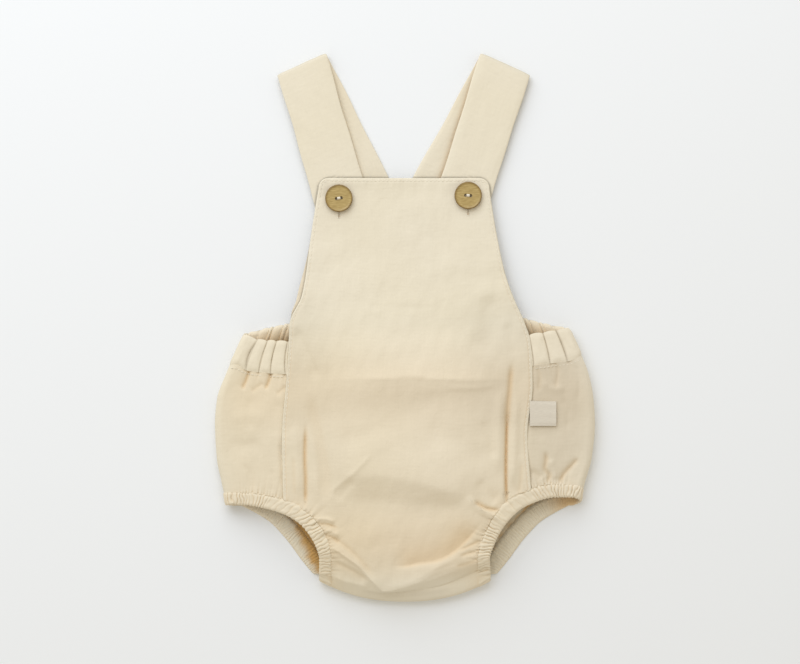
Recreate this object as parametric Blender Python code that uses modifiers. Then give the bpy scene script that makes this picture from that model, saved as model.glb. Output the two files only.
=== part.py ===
"""Short dungarees for a baby, laid out on their back: a bib front, a back that wraps round both
sides, an elastic waistband, two elastic leg casings, two crossed straps folded at the shoulder,
two buttons, the armhole facing that shows and a small blank side label.

Lengths are in millimetres in the tables and become metres when a mesh is made.
+X is to the right of the laid-out garment, +Y towards the straps, +Z up. z = 0 is the surface
that the garment lies on. Every cloth piece is a wall, worked out from its outer surface.
"""

import math
from collections import namedtuple

import bmesh
import bpy
import numpy as np

MM = 0.001

# ---------------------------------------------------------------- driving dimensions, in mm
HALF_LENGTH = 200.3  # half of the whole length, shoulder fold to crotch
CLOTH = 1.2  # double gauze wall
STRAP_WALL = 2.0  # strap: a tube of cloth pressed flat
LABEL_WALL = 0.9  # folded ribbon
SEAM_GAP = 0.35  # between two pieces that meet at a seam
LAYER_GAP = 0.35  # between two pieces that lie on each other
SEAM_STEPS = 6  # steps in which the leg seam's place and the panel's width settle together

BIB_TOP = 109.0
BIB_CORNER = 7.0  # radius of the bib's top corners
CROTCH_RADIUS = 4.5  # roll of the cloth where the front turns under
CROTCH_HALF = 54.0  # from the centre to the leg casing, along the crotch
CROTCH_RISE = 11.0  # how far the crotch line climbs over that half
CROTCH_BAND = 2.0  # how far the cloth above the roll climbs to the turn-under line
FALL_TURN = math.radians(66)  # how far round the front's fall from its brow goes

WAIST_WAVES = 52  # gathers round the elastic waistband
WAIST_WALL = 2.4
WAIST_WAVE = 0.55  # height of a waistband gather
LEG_WAVES = 62  # gathers round each leg casing
LEG_PUFF = 0.9  # how far a leg casing stands off the cloth beside it
LEG_WAVE = 0.5

STRAP_FOLD_RADIUS = 2.8  # at the shoulder
STRAP_FRONT_TOP = 5.1  # top of the strap's front end, under the bib
STRAP_CROSS_LIFT = 2.35  # the right strap passes over the left one
STRAP_CROSS_RAMP = 18.0
STRAP_END_LIFT = WAIST_WALL + WAIST_WAVE + 0.6  # the strap ends lie on the waistband
STRAP_END_RAMP = 16.0

BUTTON_RADIUS = 10.0
BUTTON_WALL = 3.0
BUTTON_HOLE_RADIUS = 1.0
BUTTON_HOLE_OFFSET = 2.2
BUTTON_LIFT = 0.35
BUTTONHOLE_BELOW = 14.0  # how far the slit reaches below and above the button's centre
BUTTONHOLE_ABOVE = 8.5
BUTTONHOLE_WIDTH = 1.1
BUTTONHOLE_MIDDLE = 7.0  # z of the middle of its cutter
BUTTONHOLE_DEPTH = 8.0
FACING_WIDTH = 11.0
FACING_LOW = 6.0  # y of the strip's two ends
FACING_HIGH = 66.0
FACING_PEEK = 3.0  # how far it shows past the bib's edge

# ---------------------------------------------------------------- tables, in mm
PANEL_COLUMNS = [  # half the front panel's width, closest where its long creases lie
    0, 0.1, 0.2, 0.3, 0.4, 0.49, 0.57, 0.64, 0.69, 0.73, 0.77, 0.81, 0.85, 0.89, 0.94, 1.0
]
PANEL_ROWS = 43
ROW_CROWDING = 1.55  # 1 spaces them evenly; above 1 they stand closer towards the crotch
ROLL_ROWS = 6  # rows round the crotch roll

Body = namedtuple("Body", "y left right edge crown")
BODY = [  # half widths of the outline, height of its rolled edge, height at the centre
    Body(-200, 127.0, 125.0, 11.4, 15.5),
    Body(-180, 128.0, 126.0, 11.7, 19.5),
    Body(-160, 129.0, 127.0, 12.0, 22.0),
    Body(-127, 131.2, 128.5, 12.0, 23.0),
    Body(-113, 134.0, 131.4, 12.0, 23.5),
    Body(-95, 137.4, 136.5, 12.0, 23.5),
    Body(-70, 138.7, 138.7, 12.0, 22.5),
    Body(-52, 137.2, 137.6, 11.8, 20.5),
    Body(-34, 130.9, 134.2, 11.4, 18.0),
    Body(-16, 122.8, 127.2, 11.0, 16.0),
    Body(-3, 117.2, 120.6, 10.4, 14.0),
    Body(20, 112.0, 114.0, 9.0, 11.6),
    Body(57, 108.0, 108.0, 7.6, 8.4),
    Body(90, 106.0, 106.0, 6.9, 7.2),
    Body(112, 105.0, 105.0, 6.7, 6.9),
]

Edge = namedtuple("Edge", "y left right")
FRONT_EDGE = [  # the front panel's side edge, from the leg casing up to the bib's corner
    Edge(-128, 88.4, 93.0),
    Edge(-115, 88.8, 92.0),
    Edge(-78, 89.4, 89.0),
    Edge(-42, 86.7, 92.0),
    Edge(-13, 84.8, 91.2),
    Edge(3, 84.0, 87.4),
    Edge(10, 81.8, 84.4),
    Edge(20, 76.2, 79.8),
    Edge(38, 72.4, 73.4),
    Edge(60, 69.6, 68.4),
    Edge(93, 64.6, 62.8),
    Edge(110, 61.6, 60.6),
]

Ring = namedtuple("Ring", "place left right")
# place: 0 front seam, 1 to 2 round the side, 3 centre back; the values are y
WAIST_TOP = [
    Ring(0.0, -9.9, -5.1),
    Ring(0.59, -9.1, -2.9),
    Ring(0.86, -7.7, -1.6),
    Ring(1.0, -6.4, -1.2),
    Ring(1.5, -4.9, -0.6),
    Ring(2.0, -3.2, 0.6),
    Ring(2.07, -0.9, 2.2),
    Ring(2.16, 1.2, 4.6),
    Ring(2.26, 3.6, 7.8),
    Ring(3.0, 11.3, 11.3),
]
WAIST_SEAM = [
    Ring(0.0, -33.9, -27.4),
    Ring(1.0, -27.5, -18.5),
    Ring(1.5, -27.0, -19.5),
    Ring(2.0, -26.6, -21.5),
    Ring(2.26, -20.6, -17.8),
    Ring(3.0, -12.7, -12.7),
]

Leg = namedtuple("Leg", "seam_x seam_y rim_x rim_y")
LEG_FRONT = {  # from the crotch out to the side; seam: panel edge, rim: edge of the opening
    "left": [
        Leg(53.6, -181.0, 62.6, -179.5),
        Leg(53.1, -168.0, 62.2, -168.3),
        Leg(55.2, -155.1, 64.2, -159.9),
        Leg(65.7, -138.3, 75.2, -143.4),
        Leg(85.4, -125.9, 91.6, -134.2),
        Leg(112.4, -120.3, 113.9, -129.3),
        Leg(125.4, -119.9, 124.4, -128.6),
    ],
    "right": [
        Leg(53.6, -181.0, 62.4, -179.5),
        Leg(52.2, -168.0, 61.5, -168.0),
        Leg(55.4, -155.0, 64.2, -158.4),
        Leg(64.0, -136.6, 72.4, -143.4),
        Leg(82.0, -121.2, 87.6, -129.8),
        Leg(107.0, -113.8, 109.0, -123.4),
        Leg(123.6, -114.6, 123.0, -123.6),
    ],
}
LEG_BACK = [  # from the side in to the crotch, the same on both sides
    Leg(119.0, -121.2, 119.6, -130.6),
    Leg(106.0, -125.8, 110.0, -135.5),
    Leg(93.4, -133.2, 100.0, -141.6),
    Leg(78.8, -147.8, 86.7, -155.3),
    Leg(67.0, -161.7, 76.1, -169.7),
    Leg(57.4, -176.0, 67.4, -180.2),
]
SEAM_SPLIT_X = {"left": 88.6, "right": 92.2}  # where the front panel's edge meets a leg casing

Line = namedtuple("Line", "x y")
BROW = [  # where the front starts to fall to the crotch: a shallow V, its point left of centre
    Line(-60, -159.0),
    Line(-45.3, -169.5),
    Line(-31.8, -176.5),
    Line(-21.4, -187.0),
    Line(-15.1, -191.5),
    Line(2.6, -184.3),
    Line(23.4, -171.0),
    Line(46.4, -161.4),
    Line(60, -157.5),
]
TURN_UNDER = [  # where the front laps over the cloth that turns under
    Line(-56, -179.5),
    Line(-47.5, -186.5),
    Line(-37.2, -190.2),
    Line(-18.3, -193.3),
    Line(6.6, -190.4),
    Line(23.4, -187.2),
    Line(38.0, -181.6),
    Line(56, -176.0),
]

Fold = namedtuple("Fold", "x0 y0 x1 y1 bow left right height")
# a ridge (or, below zero, a trough) from one point to another; left and right are its widths
# on either side of that direction, and bow is how far its middle stands off the straight line
FOLDS = [
    Fold(-48, -37, 76, -37, -1.0, 14.0, 10.0, 2.4),  # the bib's lower fold line
    Fold(-58, -83, 30, -58, -3.0, 10.0, 10.0, -0.9),  # hollows below it
    Fold(10, -70, 66, -100, -1.0, 10.0, 10.0, -1.0),
    Fold(-56, -112, 56, -124, -9.0, 20.0, 8.5, 3.0),  # belly puff
    Fold(-52, -124, 50, -134, 0.0, 7.0, 14.0, -1.5),  # hollow under the puff
    Fold(-22, -89, -52, -122, 0.0, 3.0, 4.0, 0.9),  # ridge down and left of the puff
    Fold(-74, -60, -70, -133, 0.5, 4.0, 3.6, -3.0),  # long crease beside the left seam
    Fold(-70, -44, -56.5, -130, -2.7, 4.0, 5.5, -1.5),
    Fold(-67, -74, -63.5, -130, 0.0, 4.0, 4.0, 1.0),
    Fold(77, -26, 71.6, -133, 0.0, 4.0, 4.0, -3.8),  # long crease beside the right seam
    Fold(69, -44, 67, -108, 0.0, 4.0, 4.0, 1.3),
    Fold(81, -44, 78, -118, 0.0, 4.0, 4.0, 1.3),
    Fold(-80, 2, -62, -40, 0.0, 4.0, 7.0, -1.6),  # dents beside the waist
    Fold(60, 26, 50, -20, -5.0, 9.0, 8.0, -1.8),
    Fold(44, -121, 74, -136, 2.0, 3.0, 3.6, 1.6),  # pull from the right leg casing
    Fold(-12, -172, 56, -143, 4.0, 7.0, 4.0, -2.4),  # valley above the right flap
    Fold(-62, -149, -46, -157, 0.0, 3.0, 3.0, -1.2),
    Fold(-58, -153, -15, -191, -1.5, 5.0, 3.6, 1.6),  # flap of the crotch, left of its point
    Fold(-20, -187, 58, -155, -3.0, 7.0, 4.0, 1.8),  # flap of the crotch, right of its point
    Fold(-116, -30, -119, -48, 0.0, 4.0, 4.0, -1.5),  # pleats running out of the waistband
    Fold(-98, -31, -102, -47, 0.0, 3.4, 3.4, -1.5),
    Fold(108, -22, 111, -46, 0.0, 4.0, 4.0, -1.0),
    Fold(101, -84, 99, -114, -2.0, 3.4, 3.4, -1.3),  # pleats running out of the leg casings
    Fold(124, -92, 108, -115, 0.0, 3.4, 3.4, -1.3),
    Fold(-118, -98, -111, -118, 0.0, 4.0, 4.0, -0.9),
]

Strap = namedtuple("Strap", "fold_outer fold_inner front_outer front_inner back_outer back_inner")
STRAPS = {
    "left": Strap(
        (-93.4, 184.3), (-56.9, HALF_LENGTH), (-61.2, 74.0), (-22.9, 85.2), (3.3, -6.0), (47.9, -6.0)
    ),
    "right": Strap(
        (91.3, 184.3), (55.5, HALF_LENGTH), (56.6, 74.0), (18.6, 86.0), (-13.7, -6.0), (-58.3, -6.0)
    ),
}
BUTTONS = {"left": (-48.2, 94.2), "right": (46.0, 96.2)}

Label = namedtuple("Label", "x0 x1 y0 y1")
LABEL = Label(91.9, 111.0, -72.6, -53.3)

SIGN = {"left": -1.0, "right": 1.0}


# ---------------------------------------------------------------- curves and surfaces
def smooth(xs, ys, x):
    """The value at x of a curve through (xs, ys) that never overshoots them: a monotone cubic."""
    xs, ys = np.asarray(xs, float), np.asarray(ys, float)
    x = min(max(x, xs[0]), xs[-1])
    steps = np.diff(xs)
    slopes = np.diff(ys) / steps
    tangents = np.zeros(len(xs))
    tangents[0], tangents[-1] = slopes[0], slopes[-1]
    same = slopes[:-1] * slopes[1:] > 0
    pair = np.where(same, slopes[:-1] + slopes[1:], 1.0)
    tangents[1:-1] = np.where(same, 2 * slopes[:-1] * slopes[1:] / pair, 0.0)
    k = min(int(np.searchsorted(xs, x, side="right")) - 1, len(steps) - 1)
    t = (x - xs[k]) / steps[k]
    return float(
        (1 + 2 * t) * (1 - t) ** 2 * ys[k]
        + t * (1 - t) ** 2 * steps[k] * tangents[k]
        + t * t * (3 - 2 * t) * ys[k + 1]
        - t * t * (1 - t) * steps[k] * tangents[k + 1]
    )


def read(table, along, column, value):
    """A table's column, read smoothly at a value of its leading column."""
    rows = sorted(table, key=lambda row: getattr(row, along))
    return smooth([getattr(r, along) for r in rows], [getattr(r, column) for r in rows], value)


def ease(t):
    """0 below 0, 1 above 1, and a smooth step between."""
    t = min(max(t, 0.0), 1.0)
    return t * t * (3 - 2 * t)


def crotch_line(x):
    """y of the outermost line of the crotch roll."""
    return -HALF_LENGTH + CROTCH_RISE * (abs(x) / CROTCH_HALF) ** 2.3


def fold_height(x, y):
    """The sum of the folds' ridges and troughs at a point of the front."""
    total = 0.0
    for fold in FOLDS:
        dx, dy = fold.x1 - fold.x0, fold.y1 - fold.y0
        length = math.hypot(dx, dy)
        t = ((x - fold.x0) * dx + (y - fold.y0) * dy) / length**2
        if 0 < t < 1:
            off = ((x - fold.x0) * dy - (y - fold.y0) * dx) / length - fold.bow * 4 * t * (1 - t)
            width = fold.right if off > 0 else fold.left
            taper = ease(t / 0.3) * ease((1 - t) / 0.3)
            total += fold.height * taper * math.exp(-((off / width) ** 2))
    return total


def front_height(x, y):
    """z of the front's outer surface: a crown across each section. Below the brow line it falls
    in part of a round to the turn-under line, and there it meets the cloth above the roll."""
    side = "left" if x < 0 else "right"
    edge = read(BODY, "y", "edge", y)
    flat = read(BODY, "y", side, y) - edge / 2
    across = min(abs(x) / flat, 1.0)
    crown = read(BODY, "y", "crown", y) - edge
    body = edge + crown * (1 - across**2) ** 1.5
    hem = crotch_line(x) + CROTCH_RADIUS
    under = max(read(TURN_UNDER, "x", "y", x), hem + 0.8)
    brow = max(read(BROW, "x", "y", x), under + 2.6)
    up = min(max((y - hem) / (under - hem), 0.0), 1.0)
    band = 2 * CROTCH_RADIUS + CROTCH_BAND * math.sin(up * math.pi / 2)
    fall = min(max((y - under) / (brow - under), 0.0), 1.0)
    rise = math.sin(fall * FALL_TURN) / math.sin(FALL_TURN)
    calm = ease((1 - across) / 0.12) * ease((y - under) / 3.0)
    return band + (body - band) * rise + fold_height(x, y) * calm


def body_point(side, place, y):
    """A point of the body's outer surface. place goes from the front panel's seam (0) across to
    the side (1), round the rolled side (2) and along the floor to the centre back (3)."""
    edge = read(BODY, "y", "edge", y)
    radius = edge / 2
    flat = read(BODY, "y", side, y) - radius
    if place <= 1:
        seam = read(FRONT_EDGE, "y", side, y) + SEAM_GAP
        x = seam + (flat - seam) * place
        z = front_height(SIGN[side] * x, y)
    elif place <= 2:
        turn = (place - 1) * math.pi
        x = flat + radius * math.sin(turn)
        z = radius + radius * math.cos(turn)
    else:
        x, z = flat * (3 - place), 0.0
    return np.array([SIGN[side] * x, y, z])


def body_normal(side, place):
    """Outward from the body at that place: up on the front, down on the floor."""
    turn = min(max(place - 1, 0.0), 1.0) * math.pi
    return np.array([SIGN[side] * math.sin(turn), 0.0, math.cos(turn)])


def leg_seam_y(side, place, x):
    """y of the leg casing's seam on the wrapped panel, at a place round the body."""
    front = LEG_FRONT[side]
    if place <= 1:
        return read(front, "seam_x", "seam_y", abs(x))
    start, end = front[-1].seam_y, LEG_BACK[0].seam_y
    if place <= 2:
        return start + (end - start) * (place - 1)
    if abs(x) > CROTCH_HALF + SEAM_GAP:
        return read(LEG_BACK, "seam_x", "seam_y", abs(x))
    return crotch_line(x) + CROTCH_RADIUS + SEAM_GAP


# ---------------------------------------------------------------- making objects
def clear_scene():
    for obj in list(bpy.data.objects):
        bpy.data.objects.remove(obj, do_unlink=True)


def collection(name):
    made = bpy.data.collections.new(name)
    bpy.context.scene.collection.children.link(made)
    return made


def material(name, colour, roughness):
    made = bpy.data.materials.new(name)
    made.use_nodes = True
    shader = made.node_tree.nodes["Principled BSDF"]
    shader.inputs["Base Color"].default_value = (*colour, 1.0)
    shader.inputs["Roughness"].default_value = roughness
    shader.inputs["Metallic"].default_value = 0.0
    return made


def finish_mesh(name, bm, home, surface):
    """Puts a bmesh, whose points are in mm, into an object shaded smooth, in metres."""
    for vert in bm.verts:
        vert.co *= MM
    mesh = bpy.data.meshes.new(name)
    bm.to_mesh(mesh)
    bm.free()
    mesh.shade_smooth()
    mesh.set_sharp_from_angle(angle=math.radians(50))
    mesh.materials.append(surface)
    obj = bpy.data.objects.new(name, mesh)
    home.objects.link(obj)
    return obj


def moved_grid(columns, rows, place):
    """A grid whose points are moved to place(u, v). columns and rows are lists of the values
    that u and v take. Also gives the grid's points by column and row."""
    bm = bmesh.new()
    bmesh.ops.create_grid(bm, x_segments=len(columns) - 1, y_segments=len(rows) - 1, size=1.0)
    grid = {}
    for vert in bm.verts:
        i = round((vert.co.x + 1) / 2 * (len(columns) - 1))
        j = round((vert.co.y + 1) / 2 * (len(rows) - 1))
        vert.co = place(columns[i], rows[j])
        grid[i, j] = vert
    return bm, grid


def even(count):
    return [k / count for k in range(count + 1)]


def sheet(name, columns, rows, place, wall, home, surface):
    """A cloth wall: its outer surface is a moved grid, and its thickness goes inwards."""
    bm, _ = moved_grid(columns, rows, place)
    obj = finish_mesh(name, bm, home, surface)
    solid = obj.modifiers.new("wall", "SOLIDIFY")
    solid.thickness = wall * MM
    solid.offset = -1.0
    solid.use_rim = True
    return obj


def tube(name, columns, around, place, home, surface, closed):
    """A band of cloth: sections of `around` points, joined in a ring or capped at both ends."""
    bm, grid = moved_grid(columns, even(around), place)
    for end in () if closed else (0, len(columns) - 1):
        for k in range(around // 2):
            rung = [grid[end, j] for j in (k, k + 1, around - k - 1, around - k)]
            bm.faces.new(dict.fromkeys(rung))
    bmesh.ops.remove_doubles(bm, verts=bm.verts, dist=0.01)
    bmesh.ops.recalc_face_normals(bm, faces=bm.faces)
    return finish_mesh(name, bm, home, surface)


# ---------------------------------------------------------------- front panel
def edge_route(side):
    """The front panel's side edge as (x, y) points: bib corner, seam, leg casing, crotch."""
    corner_y = BIB_TOP - BIB_CORNER
    corner_x = read(FRONT_EDGE, "y", side, corner_y) - BIB_CORNER
    points = []
    for k in range(4):
        turn = math.pi / 2 * k / 4
        points.append((corner_x + BIB_CORNER * math.sin(turn), corner_y + BIB_CORNER * math.cos(turn)))
    split = read(LEG_FRONT[side], "seam_x", "seam_y", SEAM_SPLIT_X[side]) + SEAM_GAP
    for k in range(26):
        y = corner_y + (split - corner_y) * k / 25
        points.append((read(FRONT_EDGE, "y", side, y), y))
    legs = [row for row in reversed(LEG_FRONT[side]) if row.seam_x < SEAM_SPLIT_X[side]]
    points += [(row.seam_x, row.seam_y + SEAM_GAP * 0.7) for row in legs]
    return points


def along_route(points, share):
    """The point at a share of a route's length."""
    route = np.array(points)
    lengths = np.concatenate([[0], np.cumsum(np.linalg.norm(np.diff(route, axis=0), axis=1))])
    at = share * lengths[-1]
    return np.array([smooth(lengths, route[:, 0], at), smooth(lengths, route[:, 1], at)])


def front_panel(home, surface):
    routes = {side: edge_route(side) for side in SIGN}
    flat_share = 0.93  # the rest of the rows go round the crotch roll

    def place(u, v):
        across = 2 * u - 1
        side = "left" if across < 0 else "right"
        down = 1 - v
        shown = min(down / flat_share, 1.0)
        edge_x, edge_y = along_route(routes[side], shown)
        centre_y = BIB_TOP + (crotch_line(0) + CROTCH_RADIUS - BIB_TOP) * shown
        x = across * edge_x
        y = centre_y + (edge_y - centre_y) * across**2
        if down <= flat_share:
            return (x, y, front_height(x, y))
        turn = (down - flat_share) / (1 - flat_share) * math.pi
        base = crotch_line(x) + CROTCH_RADIUS
        drop = CROTCH_RADIUS * math.sin(turn)
        return (x, base - drop, CROTCH_RADIUS + CROTCH_RADIUS * math.cos(turn))

    half = PANEL_COLUMNS
    columns = [0.5 - x / 2 for x in reversed(half[1:])] + [0.5 + x / 2 for x in half]
    rows = [k / ROLL_ROWS * (1 - flat_share) for k in range(ROLL_ROWS)]
    rows += [
        1 - flat_share * (1 - (k / PANEL_ROWS) ** ROW_CROWDING) for k in range(PANEL_ROWS + 1)
    ]
    panel = sheet("front_panel", columns, rows, place, CLOTH, home, surface)
    for side in BUTTONS:
        cut_buttonhole(panel, side)
    return panel


def cut_buttonhole(panel, side):
    """A slit through the bib, along the strap's pull, for the button's thread."""
    x, y = BUTTONS[side]
    middle = y + (BUTTONHOLE_ABOVE - BUTTONHOLE_BELOW) / 2
    bm = bmesh.new()
    bmesh.ops.create_cube(bm, size=1.0)
    for vert in bm.verts:
        vert.co.x = x + vert.co.x * BUTTONHOLE_WIDTH
        vert.co.y = middle + vert.co.y * (BUTTONHOLE_ABOVE + BUTTONHOLE_BELOW)
        vert.co.z = BUTTONHOLE_MIDDLE + vert.co.z * BUTTONHOLE_DEPTH
    cutter = finish_mesh(f"cut_buttonhole_{side}", bm, bpy.data.collections["cutters"], None)
    cutter.hide_render = True
    cutter.display_type = "WIRE"
    slit = panel.modifiers.new(f"buttonhole_{side}", "BOOLEAN")
    slit.operation = "DIFFERENCE"
    slit.object = cutter


# ---------------------------------------------------------------- back panel and waistband
def girth(side_columns, roll_columns, back_columns):
    """Places round the body from the left front seam, round the back, to the right one, as
    numbers from 0 to 6: the left side's places, then 6 less the right side's."""
    places = [k / side_columns for k in range(side_columns)]
    places += [1 + k / roll_columns for k in range(roll_columns)]
    places += [2 + k / back_columns for k in range(back_columns)]
    return places + [3.0] + [6 - p for p in reversed(places)]


def side_and_place(across):
    return ("left", across) if across <= 3 else ("right", 6 - across)


def back_panel(home, surface):
    places = girth(7, 6, 11)

    def place(across, v):
        side, where = side_and_place(across)
        top = read(WAIST_SEAM, "place", side, where) - SEAM_GAP
        bottom = top - 80
        for _ in range(SEAM_STEPS):
            bottom = leg_seam_y(side, where, body_point(side, where, bottom)[0])
        bottom += SEAM_GAP
        return body_point(side, where, bottom + (top - bottom) * v)

    rows = [0, 0.05, 0.12, 0.2, 0.28, 0.36, 0.45, 0.54, 0.63, 0.72, 0.81, 0.9, 1]
    return sheet("back_panel", places[::-1], rows, place, CLOTH, home, surface)


def band_section(v, puff, wall, wave, floor):
    """A band's section, v from 0 to 1 round it: (share across the band, height on the outer
    normal). The outer side stands off by puff and wave, but stays flat where it meets the floor."""
    outer = (puff + wave) * (1 - floor)
    inner = -wall - puff * floor - wave * (0.4 + 0.6 * floor)
    corners = [
        (0.0, 0.0),
        (0.14, outer),
        (0.5, outer * 1.15),
        (0.88, outer),
        (1.0, outer * 0.3 - wall * 0.3 * (1 - floor)),
        (0.93, inner * 0.9),
        (0.5, inner),
        (0.07, inner * 0.96),
    ]
    return corners[round(v * len(corners)) % len(corners)]


def waistband(home, surface):
    """The band from one front seam round the back to the other, in even gathers."""
    steps = 4 * WAIST_WAVES
    lengths = [0.0]
    fine = [6 * k / 600 for k in range(601)]
    points = []
    for across in fine:
        side, where = side_and_place(across)
        points.append(body_point(side, where, read(WAIST_TOP, "place", side, where)))
    for a, b in zip(points, points[1:]):
        lengths.append(lengths[-1] + float(np.linalg.norm(b - a)))
    shares = even(steps)
    places = [float(np.interp(s * lengths[-1], lengths, fine)) for s in shares]
    waves = dict(zip(places, [math.cos(2 * math.pi * WAIST_WAVES * s) for s in shares]))

    def place(across, v):
        side, where = side_and_place(across)
        top = read(WAIST_TOP, "place", side, where)
        seam = read(WAIST_SEAM, "place", side, where)
        floor = ease((where - 1.3) / 0.7)
        share, height = band_section(v, 0.5, WAIST_WALL - 0.5, WAIST_WAVE * waves[across], floor)
        base = body_point(side, where, seam + (top - seam) * share)
        return base + body_normal(side, where) * height

    return tube("waistband", places, 8, place, home, surface, closed=False)


# ---------------------------------------------------------------- leg casings
def leg_frames(side):
    """The casing's course round the leg opening: lists of seam points, rim points and outward
    normals, from the crotch up the front, round the side, down the back and round the crotch."""
    seams, rims, normals, floors = [], [], [], []

    def add(seam, rim, normal, floor):
        seams.append(seam)
        rims.append(rim)
        normals.append(normal)
        floors.append(floor)

    def on_front(x, y):
        return np.array([SIGN[side] * x, y, front_height(SIGN[side] * x, y)])

    front, back = LEG_FRONT[side], LEG_BACK
    shares = np.linspace(0, 1, len(front))
    for t in np.linspace(0, 1, 40):
        seam = [smooth(shares, [getattr(r, c) for r in front], t) for c in ("seam_x", "seam_y")]
        rim = [smooth(shares, [getattr(r, c) for r in front], t) for c in ("rim_x", "rim_y")]
        add(on_front(*seam), on_front(*rim), np.array([0.0, 0.0, 1.0]), 0.0)
    for k in range(1, 9):
        where = 1 + k / 9
        seam_y = front[-1].seam_y + (back[0].seam_y - front[-1].seam_y) * k / 9
        rim_y = front[-1].rim_y + (back[0].rim_y - front[-1].rim_y) * k / 9
        normal = body_normal(side, where)
        add(body_point(side, where, seam_y), body_point(side, where, rim_y), normal, ease(k / 9))
    shares = np.linspace(0, 1, len(back))
    for t in np.linspace(0, 1, 34):
        seam = [smooth(shares, [getattr(r, c) for r in back], t) for c in ("seam_x", "seam_y")]
        rim = [smooth(shares, [getattr(r, c) for r in back], t) for c in ("rim_x", "rim_y")]
        down = np.array([0.0, 0.0, -1.0])
        seam_point = np.array([SIGN[side] * seam[0], seam[1], 0.0])
        add(seam_point, np.array([SIGN[side] * rim[0], rim[1], 0.0]), down, 1.0)
    seam_x, rim_x = front[0].seam_x, front[0].rim_x
    for k in range(1, 8):
        turn = math.pi * (1 - k / 8)
        points = []
        for x in (seam_x, rim_x):
            low = crotch_line(x) + CROTCH_RADIUS - CROTCH_RADIUS * math.sin(turn)
            z = CROTCH_RADIUS + CROTCH_RADIUS * math.cos(turn)
            points.append(np.array([SIGN[side] * x, low, z]))
        normal = np.array([0.0, -math.sin(turn), math.cos(turn)])
        add(points[0], points[1], normal, ease(1 - k / 8))
    return [np.array(x) for x in (seams, rims, normals, floors)]


def leg_casing(side, home, surface):
    seams, rims, normals, floors = leg_frames(side)
    middle = (seams + rims) / 2
    closed = np.vstack([middle, middle[:1]])
    lengths = np.concatenate([[0], np.cumsum(np.linalg.norm(np.diff(closed, axis=0), axis=1))])

    def at(values, share):
        ring = np.vstack([values.reshape(len(middle), -1), values.reshape(len(middle), -1)[:1]])
        return np.array([np.interp(share * lengths[-1], lengths, column) for column in ring.T])

    shares = even(2 * LEG_WAVES)
    crests = {share: (1.0 if k % 2 else -1.0) for k, share in enumerate(shares)}

    def place(share, v):
        seam, rim, normal = at(seams, share), at(rims, share), at(normals, share)
        normal /= np.linalg.norm(normal)
        floor = float(at(floors, share)[0])
        across, height = band_section(v, LEG_PUFF, CLOTH + 0.3, LEG_WAVE * crests[share], floor)
        width = np.linalg.norm(rim - seam)
        across = SEAM_GAP * 1.6 / width + across * (1 - SEAM_GAP * 1.6 / width)
        return seam + (rim - seam) * across + normal * height

    return tube(f"leg_casing_{side}", shares, 8, place, home, surface, closed=True)


# ---------------------------------------------------------------- straps
def band_distance(x, y):
    """How far a point lies outside the left strap's back part, seen from above; 0 on it."""
    strap = STRAPS["left"]
    edges = ((strap.fold_outer, strap.back_outer, -1), (strap.fold_inner, strap.back_inner, 1))
    far = 0.0
    for (x0, y0), (x1, y1), turn in edges:
        dx, dy = x1 - x0, y1 - y0
        off = turn * ((y - y0) * dx - (x - x0) * dy) / math.hypot(dx, dy)
        far = max(far, off)
    return far


def strap_lift(side, x, y):
    """z of a strap's underside where it lies behind the bib: on the floor, over the other
    strap, and up onto the waistband."""
    above = y - read(WAIST_TOP, "place", "left", 3 - min(abs(x), 80.0) / 112)
    lift = STRAP_END_LIFT * (1 - ease((above - 2) / STRAP_END_RAMP))
    if side == "right":
        lift += STRAP_CROSS_LIFT * (1 - ease(band_distance(x, y) / STRAP_CROSS_RAMP))
    return lift


def strap(side, home, surface):
    """A flat band: front end, shoulder fold, back part. Rows run across it."""
    spec = STRAPS[side]
    corners = {key: np.array(value) for key, value in spec._asdict().items()}
    fold = corners["fold_inner"] - corners["fold_outer"]
    outward = np.array([-fold[1], fold[0]]) * (1 if side == "left" else -1)
    outward /= np.linalg.norm(outward)
    if outward[1] < 0:
        outward = -outward
    rows = [k / 9 for k in range(9)]
    rows += [1 + k / 6 for k in range(6)]
    rows += [2 + k / 18 for k in range(19)]

    def place(u, row):
        inset = -outward * STRAP_FOLD_RADIUS
        fold_edge = corners["fold_outer"] + fold * u + inset
        if row < 1:
            end = corners["front_outer"] + (corners["front_inner"] - corners["front_outer"]) * u
            x, y = end + (fold_edge - end) * row
            return (x, y, STRAP_FRONT_TOP + (2 * STRAP_FOLD_RADIUS - STRAP_FRONT_TOP) * ease(row))
        if row < 2:
            turn = (row - 1) * math.pi
            x, y = fold_edge + outward * STRAP_FOLD_RADIUS * math.sin(turn)
            return (x, y, STRAP_FOLD_RADIUS * (1 + math.cos(turn)))
        end = corners["back_outer"] + (corners["back_inner"] - corners["back_outer"]) * u
        x, y = fold_edge + (end - fold_edge) * (row - 2)
        return (x, y, strap_lift(side, x, y))

    columns = even(5) if side == "left" else even(5)[::-1]
    return sheet(f"strap_{side}", columns, rows, place, STRAP_WALL, home, surface)


# ---------------------------------------------------------------- small pieces
def armhole_facing(side, home, surface):
    """A strip under the bib's curved edge, whose own edge shows at the middle of the curve."""

    def place(u, v):
        y = FACING_LOW + (FACING_HIGH - FACING_LOW) * v
        out = read(FRONT_EDGE, "y", side, y) + FACING_PEEK * math.sin(math.pi * v) ** 2
        x = SIGN[side] * (out - FACING_WIDTH * (1 - u if side == "right" else u))
        return (x, y, front_height(x, y) - CLOTH - LAYER_GAP)

    return sheet(f"armhole_facing_{side}", even(3), even(14), place, CLOTH, home, surface)


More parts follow.
